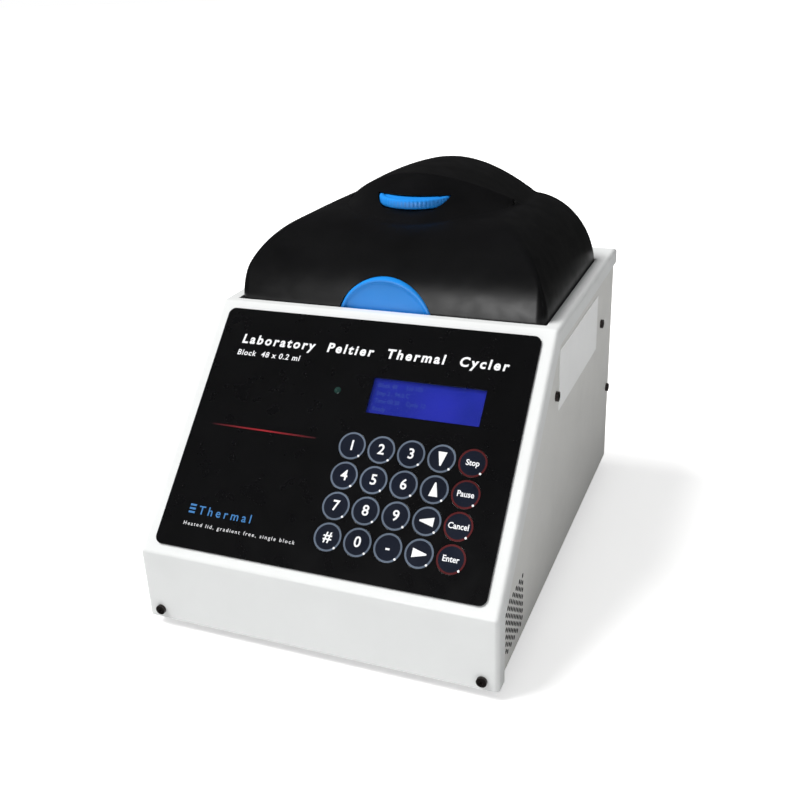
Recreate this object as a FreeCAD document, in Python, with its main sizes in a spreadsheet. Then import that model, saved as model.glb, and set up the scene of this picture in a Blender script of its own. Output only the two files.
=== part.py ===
import FreeCAD, Part
import math
import os
import re

import Sketcher
from FreeCAD import Placement, Rotation, Vector

# Bench-top thermal cycler: sheet-metal wedge case, sloping keypad, moulded domed lid over a
# 48-well block. Millimetres, +Z up, front towards -Y, origin on the bench under the case's centre.
SIZES = {
    # case
    "case_width": 242.6,
    "case_front": 160,         # distance of each end wall from the origin
    "case_rear": 162.5,
    "deck_rise": 3.5,          # the deck climbs this much from the slope to the rear
    "foot_height": 10,
    "skirt_drop": 3,          # the cover hangs this far below the base plate
    "front_height": 50,
    "slope_run": 130,
    "slope_angle": 45,
    "cover_sheet": 1.5,
    "panel_sheet": 1.2,
    "flange_depth": 11.5,
    "bend_radius": 3,
    "opening_radius": 1,
    "fit_gap": 0.1,
    # opening in the deck for the lid
    "bay_half": 111.7,
    "bay_front": -24.2,
    "bay_rear": 128.8,
    # side vents
    "vent_radius": 1.6,
    "vent_step": 3.56,         # along the panel, from one column of vents to the next
    "vent_rise": 5.15,         # up the panel; every other column stands half a rise lower
    "vent_start": -140.1,
    "vent_low": 22.2,
    # keypad overlay, measured up the slope from the bend
    "overlay_half": 112,
    "overlay_low": 6.6,
    "overlay_high": 177.8,
    "overlay_thick": 1.2,
    "key_radius": 9.3,
    "key_gap": 0.15,
    "key_travel": 0.4,
    "key_pitch": 20,
    "key_first": 5.9,
    "key_bottom": 30,
    "window_left": 8.7,
    "window_right": 84.5,
    "window_low": 113.5,
    "window_high": 137.9,
    # lid shell
    "lid_half": 111,
    "lid_front": -23,
    "lid_rear": 128,
    "lid_bottom": 176,
    "lid_top": 241,
    "shoulder_radius": 52,
    "brow_radius": 56,
    "shell_wall": 2.5,
    "dome_radius": 98.3,
    "dome_length": 273,
    "dome_centre": 82,
    "dome_height": 26.5,
    "visor_radius": 71.4,
    "visor_front": 34,
    # pressure wheel and what it drives
    "wheel_centre": 47,
    "wheel_radius": 27.5,
    "wheel_low": 246,
    "wheel_high": 252.5,
    "spindle_radius": 5,
    "running_gap": 0.05,
    "plate_travel": 6,
    # latch
    "button_radius": 35.5,
    "button_centre": 173.5,
    "button_low": 180,
    "button_face": -22.6,
    "hook_pivot": 208,
    "hook_axis": -5,
    # hinge
    "hinge_rear": 133,
    "hinge_level": 195,
    "hinge_spread": 55,
    "pin_radius": 2,
    # sample block and what sits under it
    "well_pitch": 9,
    "well_radius": 3.1,
    "well_depth": 15,
    "block_half": 48,
    "block_reach": 39,
    "block_low": 145,
    "block_high": 168,
    "fin_pitch": 6.5,
    # fan
    "fan_half": 40,
    "fan_level": 106,
    "fan_bore": 37.5,
    "fan_front": 134.3,
    "fan_back": 159.3,
    "axle_radius": 1.5,
    # screws: radius of a clearance hole, of a tapped hole, and where the two front ones stand
    "clear_radius": 1.6,
    "tap_radius": 1.55,
    "screw_radius": 1.5,
    "front_screw_x": 111,
    "front_screw_up": 6.4,
    "fan_screw_x": 32,
    # side labels
    "label_front": -20,
    "label_rear": 100,
    "label_low": 128,
    "label_high": 170,
    "label_thick": 0.4,
    # boards and supply in the case
    "board_low": 22,
    "board_high": 23.6,
    "supply_top": 52,
    # block surround
    "frame_front": -36,
    "frame_rear": 134,
    "frame_low": 165,
    "frame_high": 166.5,
    "collar_width": 4,
    "block_gap": 1.5,
    # lid: plate that closes it, bridge and guide pins
    "cover_low": 186,
    "cover_high": 188.5,
    "leg_low": 188.6,
    "beam_low": 214,
    "beam_high": 217,
    "beam_half": 96,
    "beam_reach": 10,
    "guide_radius": 3,
    # heated plate and the sprung plate over it
    "plate_low": 177,
    "plate_thick": 6,
    "sprung_low": 191,
    "sprung_high": 194,
    "post_radius": 2.4,
    # hinge knuckles and hook parts
    "knuckle_radius": 4,
    "knuckle_half": 4.4,
    "leaf_half": 8.8,
    "wing_reach": 5.2,
    "wing_top": 213,
    # mains inlet
    "inlet_centre": 85,
    "inlet_level": 52,
    "rocker_level": 72,
}

KEY_NAMES = (
    ("hash", "zero", "dash", "right", "enter"),
    ("seven", "eight", "nine", "left", "cancel"),
    ("four", "five", "six", "up", "pause"),
    ("one", "two", "three", "down", "stop"),
)

doc = FreeCAD.newDocument("ThermalCycler")
sheet = doc.addObject("Spreadsheet::Sheet", "Dims")
for row, (alias, size) in enumerate(SIZES.items(), start=1):
    sheet.set(f"A{row}", alias)
    sheet.set(f"B{row}", str(size))
    sheet.setAlias(f"B{row}", alias)
doc.recompute()

NODES = []
X_AXIS = Vector(1, 0, 0)
Y_AXIS = Vector(0, 1, 0)
Z_AXIS = Vector(0, 0, 1)
TURN = {
    "x": Rotation(Y_AXIS, 90),
    "y": Rotation(X_AXIS, -90),
    "z": Rotation(),
}
FRONT_BEND = "foot_height-skirt_drop+front_height"
DECK = f"({FRONT_BEND}+slope_run*tan(slope_angle))"
DECK_REAR = f"({DECK}+deck_rise)"
CASE_LOW = "(foot_height-skirt_drop)"
THROUGH = 20                   # a cut this deep goes right through any sheet


def formula(text):
    """The sheet's names in an expression; every one of them has an underscore in it."""
    return re.sub(r"[a-z]+(?:_[a-z]+)+", r"Dims.\g<0>", str(text))


def bind(item, **texts):
    for prop, text in texts.items():
        item.setExpression(prop, formula(text))


def locate(item, x=0, y=0, z=0):
    for axis, text in (("x", x), ("y", y), ("z", z)):
        item.setExpression(f"Placement.Base.{axis}", formula(text))


def node(item, label):
    """Hands an object in as the sub-part called label."""
    item.Label = label
    NODES.append(item)
    return item


# ---------------------------------------------------------------- primitives and booleans

def box(name, x, y, z):
    """Block from low to high along each axis."""
    item = doc.addObject("Part::Box", name)
    for prop, (low, high) in (("Length", x), ("Width", y), ("Height", z)):
        bind(item, **{prop: f"({high})-({low})"})
    locate(item, x[0], y[0], z[0])
    return item


def rod(name, radius, axis, centre, span):
    """Cylinder along one axis; centre gives its place on the other two, in X, Y, Z order."""
    item = doc.addObject("Part::Cylinder", name)
    low, high = span
    bind(item, Radius=radius, Height=f"({high})-({low})")
    item.Placement = Placement(Vector(), TURN[axis])
    place = list(centre)
    place.insert("xyz".index(axis), low)
    locate(item, *place)
    return item


def cone(name, low_radius, high_radius, centre, span):
    item = doc.addObject("Part::Cone", name)
    low, high = span
    bind(item, Radius1=low_radius, Radius2=high_radius, Height=f"({high})-({low})")
    locate(item, centre[0], centre[1], low)
    return item


def fuse(name, items):
    item = doc.addObject("Part::MultiFuse", name)
    item.Shapes = items
    return item


def common(name, items):
    item = doc.addObject("Part::MultiCommon", name)
    item.Shapes = items
    return item


def group(name, items):
    item = doc.addObject("Part::Compound", name)
    item.Links = items
    return item


def cut(name, base, tools):
    item = doc.addObject("Part::Cut", name)
    item.Base = base
    item.Tool = tools[0] if len(tools) == 1 else group(f"{name}_tools", tools)
    return item


def spring(name, coil_radius, wire_radius, turns, axis, centre, low):
    """Open coil of round wire standing on low, axis through centre."""
    pitch = wire_radius * 3.4
    helix = doc.addObject("Part::Helix", f"{name}_path")
    helix.Radius = coil_radius
    helix.Pitch = pitch
    helix.Height = pitch * turns
    wire = doc.addObject("Part::Circle", f"{name}_wire")
    wire.Radius = wire_radius
    wire.Placement = Placement(Vector(coil_radius, 0, 0), Rotation(X_AXIS, 90))
    item = doc.addObject("Part::Sweep", name)
    item.Sections = [wire]
    item.Spine = (helix, [])
    item.Solid = True
    item.Frenet = True
    item.Placement = Placement(Vector(), TURN[axis])
    place = list(centre)
    place.insert("xyz".index(axis), low)
    locate(item, *place)
    return item


# ---------------------------------------------------------------- bodies, sketches, features

def body(name):
    return doc.addObject("PartDesign::Body", name)


def datum(owner, role):
    return next(item for item in owner.Origin.OriginFeatures if item.Role == role)


def sketch_on(owner, role, name, offset=0):
    item = owner.newObject("Sketcher::SketchObject", name)
    item.AttachmentSupport = [(datum(owner, role), "")]
    item.MapMode = "FlatFace"
    item.setExpression("AttachmentOffset.Base.z", formula(offset))
    return item


def pin_point(sketch, geometry, end, point):
    """Fixes one point of a sketch at a pair of expressions."""
    for axis, kind, text in (("x", "DistanceX", point[0]), ("y", "DistanceY", point[1])):
        index = sketch.addConstraint(Sketcher.Constraint(kind, -1, 1, geometry, end, 1.0))
        sketch.renameConstraint(index, f"{axis}_{geometry}")
        sketch.setExpression(f"Constraints.{axis}_{geometry}", formula(text))


def outline(sketch, points):
    """Closed outline through points, each a pair of expressions."""
    count = len(points)
    first = sketch.GeometryCount
    ring = [Vector(100 * math.cos(6.28 * i / count), 100 * math.sin(6.28 * i / count), 0)
            for i in range(count)]
    for i in range(count):
        sketch.addGeometry(Part.LineSegment(ring[i], ring[(i + 1) % count]), False)
    for i in range(count):
        follows = first + (i + 1) % count
        sketch.addConstraint(Sketcher.Constraint("Coincident", first + i, 2, follows, 1))
    for i, point in enumerate(points):
        pin_point(sketch, first + i, 1, point)


def rectangle(sketch, x, y):
    outline(sketch, [(x[0], y[0]), (x[1], y[0]), (x[1], y[1]), (x[0], y[1])])


def circle(sketch, centre, radius):
    index = sketch.addGeometry(Part.Circle(Vector(1, 1, 0), Z_AXIS, 1), False)
    pin_point(sketch, index, 3, centre)
    size = sketch.addConstraint(Sketcher.Constraint("Radius", index, 1.0))
    sketch.renameConstraint(size, f"r_{index}")
    sketch.setExpression(f"Constraints.r_{index}", formula(radius))


def pad(owner, sketch, length, both_sides=False, reverse=False):
    item = owner.newObject("PartDesign::Pad", f"{sketch.Name}_pad")
    item.Profile = sketch
    item.SideType = "Symmetric" if both_sides else "One side"
    item.Reversed = reverse
    bind(item, Length=length)
    sketch.Visibility = False
    doc.recompute()
    return item


def pocket(owner, sketch, length, both_sides=False, reverse=False, taper=0):
    """Pocket that must take something away, or the build stops."""
    before = owner.Tip.Shape.Volume
    item = owner.newObject("PartDesign::Pocket", f"{sketch.Name}_cut")
    item.Profile = sketch
    item.SideType = "Symmetric" if both_sides else "One side"
    item.Reversed = reverse
    item.TaperAngle = taper
    bind(item, Length=length)
    doc.recompute()
    if item.Shape.Volume > before - 1e-3:
        raise RuntimeError(f"{item.Name} cuts nothing")
    return item


def grid(owner, feature, rows):
    """Repeats a feature along one or two axes: each row is (axis role, pitch, count)."""
    item = owner.newObject("PartDesign::MultiTransform", f"{feature.Name}_grid")
    item.Originals = [feature]
    steps = []
    for number, (role, pitch, count) in enumerate(rows):
        step = doc.addObject("PartDesign::LinearPattern", f"{feature.Name}_row{number}")
        owner.addObject(step)
        step.Direction = (datum(owner, role), [""])
        step.Occurrences = count
        bind(step, Length=f"({pitch})*{count - 1}")
        steps.append(step)
    item.Transformations = steps
    owner.Tip = item
    doc.recompute()
    return item


def around(owner, feature, role, count):
    item = owner.newObject("PartDesign::PolarPattern", f"{feature.Name}_ring")
    item.Originals = [feature]
    item.Axis = (datum(owner, role), [""])
    item.Angle = 360
    item.Occurrences = count
    owner.Tip = item
    doc.recompute()
    return item


def round_edges(owner, wanted, radius):
    """Fillet on every edge of the tip that wanted(edge) picks."""
    base = owner.Tip
    names = [f"Edge{i}" for i, edge in enumerate(base.Shape.Edges, start=1) if wanted(edge)]
    item = owner.newObject("PartDesign::Fillet", f"{owner.Name}_round{len(owner.Group)}")
    item.Base = (base, names)
    bind(item, Radius=radius)
    doc.recompute()
    return item


def size_of(alias):
    return float(sheet.get(alias))


def runs_along(edge, axis):
    spread = {"x": edge.BoundBox.XLength, "y": edge.BoundBox.YLength, "z": edge.BoundBox.ZLength}
    return spread[axis] > 1e-6 and all(spread[other] < 1e-6 for other in spread if other != axis)


DECK_LEVEL = (size_of("foot_height") - size_of("skirt_drop") + size_of("front_height")
              + size_of("slope_run") * math.tan(math.radians(size_of("slope_angle"))))


def slope_frame():
    """Frame of the sloping front: X across, Y up the slope from the bend, Z out of the sheet."""
    bend = size_of("foot_height") - size_of("skirt_drop") + size_of("front_height")
    place = Vector(0, -size_of("case_front"), bend)
    return Placement(place, Rotation(X_AXIS, size_of("slope_angle")))


# ---------------------------------------------------------------- case

def wedge(inset, low):
    """Side view of the case, a distance inside its outer face, as (Y, Z) expressions."""
    return [
        (f"-case_front+{inset}", low),
        (f"-case_front+{inset}", f"{FRONT_BEND}-({inset})*tan((90-slope_angle)/2)"),
        (f"-case_front+slope_run+({inset})*tan(slope_angle/2)", f"{DECK}-({inset})"),
    ]


def front_cover():
    """One folded sheet: front wall, keypad slope and deck, with a flange down every edge."""
    owner = body("cover_fold")
    profile = sketch_on(owner, "YZ_Plane", "cover_profile")
    outer = wedge("0", CASE_LOW)
    inner = wedge("flange_depth", CASE_LOW)
    rear = [("case_rear", DECK_REAR), ("case_rear", f"{DECK_REAR}-flange_depth")]
    outline(profile, outer + rear + inner[::-1])
    pad(owner, profile, "case_width", both_sides=True)
    half = size_of("case_width") / 2
    front = -size_of("case_front")
    low = size_of("foot_height") - size_of("skirt_drop")
    slope_top = front + size_of("slope_run")
    deck_slope = size_of("deck_rise") / (size_of("case_rear") - slope_top)

    def outer_edge(edge):
        centre = edge.CenterOfMass
        bend = centre.y - front + low + size_of("front_height")
        deck = DECK_LEVEL + (centre.y - slope_top) * deck_slope
        on_skin = (abs(centre.y - front) < 0.01 or abs(centre.z - bend) < 0.01
                   or abs(centre.z - deck) < 0.01)
        if not on_skin or centre.z < low + 0.01:
            return False
        return runs_along(edge, "x") or abs(abs(centre.x) - half) < 0.01

    round_edges(owner, outer_edge, "bend_radius")
    hollow = sketch_on(owner, "YZ_Plane", "cover_inside")
    skin = wedge("cover_sheet", f"{CASE_LOW}-1")
    far = wedge("(flange_depth+1)", f"{CASE_LOW}-1")
    back = [("case_rear-cover_sheet", f"{DECK_REAR}-cover_sheet"),
            ("case_rear-cover_sheet", f"{DECK_REAR}-flange_depth-1")]
    outline(hollow, skin + back + far[::-1])
    pocket(owner, hollow, "case_width-2*cover_sheet", both_sides=True)
    bay = sketch_on(owner, "XY_Plane", "bay_opening")
    rectangle(bay, ("-bay_half", "bay_half"), ("bay_front", "bay_rear"))
    pocket(owner, bay, "4*case_width", both_sides=True)
    round_edges(owner, lambda edge: runs_along(edge, "z") and edge.Length < 2
                and abs(abs(edge.CenterOfMass.x) - size_of("bay_half")) < 0.01, "opening_radius")
    window = box("cover_window", ("window_left-1", "window_right+1"),
                 ("window_low-1", "window_high+1"), (-5, 1))
    tail = box("tail_slot", ("key_first+10", "key_first+50"), (12, 15), (-5, 1))
    on_slope = group("slope_cuts", [window, tail])
    on_slope.Placement = slope_frame()
    holes = [rod(f"front_hole{side}", "clear_radius", "y", front_screw_place(side),
                 ("-case_front-1", "-case_front+5")) for side in (-1, 1)]
    return node(cut("front_cover", owner, [on_slope] + holes), "front_cover")


def front_screw_place(side):
    """Place of a front screw across and up, as seen from the front."""
    return f"{side}*front_screw_x", CASE_LOW + "+front_screw_up"


VENT_COLUMNS = 6
VENT_ROWS = 7
SIDE_SCREWS = ((-27.5, 141), (117, 142.4), (153, 75.5))


def side_panel(name, side):
    """Flat side under the cover's flange, with staggered round vents low at the front."""
    owner = body(name)
    # The sketch plane faces +X; the panel is drawn on its outer face and padded inwards.
    face = f"{side}*(case_width/2-cover_sheet-fit_gap)"
    profile = sketch_on(owner, "YZ_Plane", f"{name}_profile", face)
    gap = "(cover_sheet+fit_gap)"
    rear = [(f"case_rear-{gap}", f"{DECK_REAR}-{gap}"), (f"case_rear-{gap}", "foot_height")]
    outline(profile, wedge(gap, "foot_height") + rear)
    pad(owner, profile, "panel_sheet", reverse=side > 0)
    for shift, columns in ((0, VENT_COLUMNS), (1, VENT_COLUMNS - 1)):
        vent = sketch_on(owner, "YZ_Plane", f"{name}_vent{shift}", face)
        circle(vent, (f"vent_start+{shift}*vent_step", f"vent_low-{shift}*vent_rise/2"), "vent_radius")
        first = pocket(owner, vent, THROUGH, both_sides=True)
        grid(owner, first, [("Y_Axis", "2*vent_step", columns), ("Z_Axis", "vent_rise", VENT_ROWS)])
    holes = sketch_on(owner, "YZ_Plane", f"{name}_holes", face)
    for place in SIDE_SCREWS:
        circle(holes, place, "clear_radius")
    pocket(owner, holes, THROUGH, both_sides=True)
    node(owner, name)


def base_plate():
    """Floor sheet between the sides, with intake slots and upturned ears for the screws."""
    owner = body("base_plate")
    half = "(case_width/2-cover_sheet-panel_sheet-2*fit_gap)"
    front = "(-case_front+cover_sheet+fit_gap)"
    floor = sketch_on(owner, "XY_Plane", "floor_profile", "foot_height")
    rectangle(floor, (f"-{half}", half), (front, "case_rear-cover_sheet-fit_gap"))
    pad(owner, floor, "cover_sheet")
    slot = sketch_on(owner, "XY_Plane", "floor_slot", "foot_height")
    rectangle(slot, (-60, -56.5), (-40, 20))
    first = pocket(owner, slot, THROUGH, both_sides=True)
    grid(owner, first, [("X_Axis", 11, 12)])
    for side in (-1, 1):
        ear = sketch_on(owner, "XY_Plane", f"front_ear{side + 1}", "foot_height")
        rectangle(ear, (f"{side}*front_screw_x-5.5", f"{side}*front_screw_x+5.5"),
                  (front, f"{front}+cover_sheet"))
        pad(owner, ear, 10)
    holes = sketch_on(owner, "XZ_Plane", "ear_holes")
    for side in (-1, 1):
        circle(holes, front_screw_place(side), "tap_radius")
    pocket(owner, holes, "4*case_front", both_sides=True)
    node(owner, "base_plate")


REAR_SCREWS = ((-110, 20), (110, 20), (-110, 165), (110, 165))
FAN_SCREWS = tuple((f"{across}*fan_screw_x", f"fan_level+{up}*fan_screw_x")
                   for across in (-1, 1) for up in (-1, 1))


def rear_panel():
    """Back sheet with a punched grille in front of the fan and a cut-out for the inlet."""
    owner = body("rear_panel")
    half = "(case_width/2-cover_sheet-panel_sheet-2*fit_gap)"
    face = "-(case_rear-cover_sheet-fit_gap)"
    profile = sketch_on(owner, "XZ_Plane", "rear_profile", face)
    rectangle(profile, (f"-{half}", half),
              ("foot_height+cover_sheet+fit_gap", f"{DECK_REAR}-cover_sheet-fit_gap"))
    pad(owner, profile, "cover_sheet")
    slot = sketch_on(owner, "XZ_Plane", "grille_slot", face)
    rectangle(slot, ("-2.1", "2.1"), ("fan_level+9", "fan_level+34"))
    cut_ring(owner, slot)
    cutouts = sketch_on(owner, "XZ_Plane", "rear_cutouts", face)
    rectangle(cutouts, ("inlet_centre-14.2", "inlet_centre+14.2"), ("inlet_level-14.2", "rocker_level+12.2"))
    for place in REAR_SCREWS:
        circle(cutouts, place, "clear_radius")
    for place in FAN_SCREWS:
        circle(cutouts, place, "clear_radius")
    pocket(owner, cutouts, THROUGH, both_sides=True)
    node(owner, "rear_panel")


def cut_ring(owner, slot):
    """Cuts a radial slot round the fan's axis, which runs along Y."""
    first = pocket(owner, slot, THROUGH, both_sides=True)
    line = owner.newObject("PartDesign::Line", "fan_axis")
    ring = owner.newObject("PartDesign::PolarPattern", "grille")
    ring.Originals = [first]
    line.Placement = Placement(Vector(), TURN["y"])
    line.setExpression("Placement.Base.z", formula("fan_level"))
    ring.Axis = (line, [""])
    ring.Angle = 360
    ring.Occurrences = 18
    owner.Tip = ring
    doc.recompute()


def feet():
    """Four moulded feet, wider at the top, each with a hollow under it for its screw."""
    items = []
    for x in (-80, 80):
        for y in (-120, 120):
            name = f"foot_{'l' if x < 0 else 'r'}{'f' if y < 0 else 'b'}"
            outer = cone(f"{name}_outer", 9, 11, (x, y), (0, "foot_height"))
            hollow = rod(f"{name}_hollow", 4, "z", (x, y), (-1, 4))
            items.append(cut(name, outer, [hollow]))
    node(group("feet", items), "feet")


# ---------------------------------------------------------------- keypad and display

def key_places():
    for row, names in enumerate(KEY_NAMES):
        for column, name in enumerate(names):
            yield name, f"key_first+{column}*key_pitch", f"key_bottom+{row}*key_pitch"


def keypad():
    """Bonded overlay on the slope, with the display window and twenty short-travel keys."""
    owner = body("overlay_sheet")
    sheet_plan = sketch_on(owner, "XY_Plane", "overlay_plan")
    rectangle(sheet_plan, ("-overlay_half", "overlay_half"), ("overlay_low", "overlay_high"))
    pad(owner, sheet_plan, "overlay_thick")
    round_edges(owner, lambda edge: runs_along(edge, "z"), 5)
    holes = sketch_on(owner, "XY_Plane", "overlay_holes")
    rectangle(holes, ("window_left-fit_gap", "window_right+fit_gap"),
              ("window_low-fit_gap", "window_high+fit_gap"))
    for name, across, up in key_places():
        circle(holes, (across, up), "key_radius+key_gap")
    pocket(owner, holes, THROUGH, both_sides=True)
    owner.Placement = slope_frame()
    node(owner, "keypad_overlay")
    for name, across, up in key_places():
        key = body(f"key_body_{name}")
        plan = sketch_on(key, "XY_Plane", f"key_plan_{name}", "key_travel+fit_gap")
        circle(plan, (across, up), "key_radius")
        pad(key, plan, "overlay_thick-key_travel-fit_gap")
        round_edges(key, lambda edge: edge.CenterOfMass.z > size_of("overlay_thick") - 0.01, 0.15)
        key.Placement = slope_frame()
        node(key, f"key_{name}")
    pane = box("window_pane", ("window_left", "window_right"), ("window_low", "window_high"),
               (0, "overlay_thick-0.1"))
    window = group("display_window", [pane])
    window.Placement = slope_frame()
    node(window, "display_window")


def display_module():
    """Character display on its own board, screwed behind the window."""
    middle = "(window_left+window_right)/2"
    height = "(window_low+window_high)/2"
    board = box("display_board", (f"{middle}-49", f"{middle}+49"), (f"{height}-30", f"{height}+30"),
                (-11.2, -9.6))
    bezel = box("display_bezel", (f"{middle}-48.5", f"{middle}+48.5"), (f"{height}-20", f"{height}+20"),
                (-9.6, -3))
    glass = box("display_glass", (f"{middle}-37.9", f"{middle}+37.9"), (f"{height}-13.2", f"{height}+13.2"),
                (-3, -1.7))
    chips = [box(f"display_chip{i}", (f"{middle}{offset}", f"{middle}{offset}+14"),
                 (f"{height}-7", f"{height}+7"), (-13, -11.2)) for i, offset in enumerate((-40, -7, 26))]
    corners = [rod(f"display_hole{i}", 1.6, "z", (f"{middle}{dx}", f"{height}{dy}"), (-14, -8))
               for i, (dx, dy) in enumerate(((-46.5, -27.5), (-46.5, "+27.5"), ("+46.5", -27.5),
                                             ("+46.5", "+27.5")))]
    whole = cut("display_module", fuse("display_solid", [board, bezel, glass] + chips), corners)
    whole.Placement = slope_frame()
    node(whole, "display_module")


# ---------------------------------------------------------------- inside the case

def electronics():
    board = box("logic_board", (-100, 100), (-148, -68), ("board_low", "board_high"))
    posts = [rod(f"post{x}_{y}", 3, "z", (x, y), ("foot_height+cover_sheet+fit_gap", "board_low"))
             for x in (-94, 94) for y in (-142, -74)]
    chips = [box(f"chip{i}", (x, x + width), (y, y + depth), ("board_high", f"board_high+{rise}"))
             for i, (x, y, width, depth, rise) in enumerate((
                 (-60, -120, 24, 24, 3), (-20, -110, 14, 8, 3.5), (10, -110, 14, 8, 3.5),
                 (-92, -140, 10, 40, 9), (40, -100, 30, 14, 12), (40, -130, 40, 8, 8)))]
    cans = [rod(f"can{i}", 5, "z", (x, -90), ("board_high", 38)) for i, x in enumerate((-40, -26, -12))]
    node(fuse("control_board", [board] + posts + chips + cans), "control_board")
    lid = box("supply_case", (-108, 30), (-50, 42), ("foot_height+cover_sheet+fit_gap", "supply_top"))
    terminals = box("supply_terminals", (30, 42), (-40, 30), ("foot_height+cover_sheet+fit_gap", 30))
    slots = [box(f"supply_slot{i}", (-100 + 10 * i, -95 + 10 * i), (-42, 34),
                 ("supply_top-2", "supply_top+1")) for i in range(12)]
    node(cut("power_supply", fuse("supply_solid", [lid, terminals]), slots), "power_supply")


def sample_block():
    """Aluminium block with a grid of tapered wells, 8 across and 6 deep."""
    owner = body("sample_block")
    plan = sketch_on(owner, "XY_Plane", "block_plan", "block_high")
    rectangle(plan, ("-block_half", "block_half"), ("wheel_centre-block_reach", "wheel_centre+block_reach"))
    pad(owner, plan, "block_high-block_low", reverse=True)
    round_edges(owner, lambda edge: runs_along(edge, "z"), 4)
    well = sketch_on(owner, "XY_Plane", "well_mouth", "block_high")
    circle(well, ("-3.5*well_pitch", "wheel_centre-2.5*well_pitch"), "well_radius")
    first = pocket(owner, well, "well_depth", taper=-5)
    grid(owner, first, [("X_Axis", "well_pitch", 8), ("Y_Axis", "well_pitch", 6)])
    node(owner, "sample_block")


def under_the_block():
    modules = [box(f"module{side}", (f"{side}*22-20", f"{side}*22+20"),
                   ("wheel_centre-20", "wheel_centre+20"),
                   ("block_low-3.9", "block_low-fit_gap")) for side in (-1, 1)]
    node(group("peltier_modules", modules), "peltier_modules")
    owner = body("heat_sink")
    plan = sketch_on(owner, "XZ_Plane", "sink_section", 20)
    rectangle(plan, (-68, 68), ("block_low-54", "block_low-4"))
    pad(owner, plan, 144, reverse=True)
    gap = sketch_on(owner, "XZ_Plane", "fin_gap", 21)
    rectangle(gap, ("-66", "-66+fin_pitch-2"), ("block_low-60", "block_low-14"))
    first = pocket(owner, gap, 150)
    grid(owner, first, [("X_Axis", "fin_pitch", 21)])
    node(owner, "heat_sink")


def block_frame():
    """Moulded surround of the block, with side flanges that the side screws hold."""
    half = "(case_width/2-cover_sheet-panel_sheet-3*fit_gap)"
    plate = box("frame_plate", (f"-{half}", half), ("frame_front", "frame_rear"), ("frame_low", "frame_high"))
    collar = box("frame_collar", ("-block_half-collar_width", "block_half+collar_width"),
                 ("wheel_centre-block_reach-collar_width", "wheel_centre+block_reach+collar_width"),
                 (158, "frame_high+2"))
    flanges = [box(f"frame_flange{side}", (f"{side}*{half}-{1.5 if side > 0 else 0}",
                                           f"{side}*{half}+{0 if side > 0 else 1.5}"),
                   ("frame_front", "frame_rear"), (132, "frame_low+0.5")) for side in (-1, 1)]
    hole = box("frame_hole", ("-block_half-block_gap", "block_half+block_gap"),
               ("wheel_centre-block_reach-block_gap", "wheel_centre+block_reach+block_gap"), (150, 172))
    threads = [rod(f"frame_thread{i}", "tap_radius", "x", place, ("-case_width", "case_width"))
               for i, place in enumerate(SIDE_SCREWS[:2])]
    node(cut("block_frame", fuse("frame_solid", [plate, collar] + flanges), [hole] + threads), "block_frame")


def fan():
    """Axial fan behind the heat sink: square frame with a hub on struts, and its rotor."""
    span = ("fan_front", "fan_back")
    frame = box("fan_square", ("-fan_half", "fan_half"), span, ("fan_level-fan_half", "fan_level+fan_half"))
    bore = rod("fan_bore_cut", "fan_bore", "y", (0, "fan_level"), ("fan_front-1", "fan_back+1"))
    holes = [rod(f"fan_hole{number}", 2.2, "y", place, ("fan_front-1", "fan_back+1"))
             for number, place in enumerate(FAN_SCREWS)]
    ring = cut("fan_ring", frame, [bore] + holes)
    cup = rod("fan_cup", 16, "y", (0, "fan_level"), ("fan_back-5", "fan_back"))
    crossbar = box("fan_crossbar", (-38, 38), ("fan_back-4", "fan_back"), ("fan_level-1.5", "fan_level+1.5"))
    upright = box("fan_upright", (-1.5, 1.5), ("fan_back-4", "fan_back"), ("fan_level-38", "fan_level+38"))
    axle = rod("fan_axle", "axle_radius", "y", (0, "fan_level"), ("fan_front+4", "fan_back-4"))
    node(fuse("fan_frame", [ring, cup, crossbar, upright, axle]), "fan_frame")
    owner = body("fan_rotor")
    hub = sketch_on(owner, "XY_Plane", "rotor_hub")
    circle(hub, (0, 0), 17)
    pad(owner, hub, 18)
    blade = sketch_on(owner, "XY_Plane", "rotor_blade", 2)
    outline(blade, [(12, -1), (36, -7), (36.4, -5.2), (12, 1)])
    first = pad(owner, blade, 14)
    around(owner, first, "Z_Axis", 9)
    bore = sketch_on(owner, "XY_Plane", "rotor_bore")
    circle(bore, (0, 0), "axle_radius+running_gap")
    pocket(owner, bore, 60, both_sides=True)
    owner.Placement = Placement(Vector(), TURN["y"])
    locate(owner, 0, "fan_front+1", "fan_level")
    node(owner, "fan_rotor")


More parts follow.
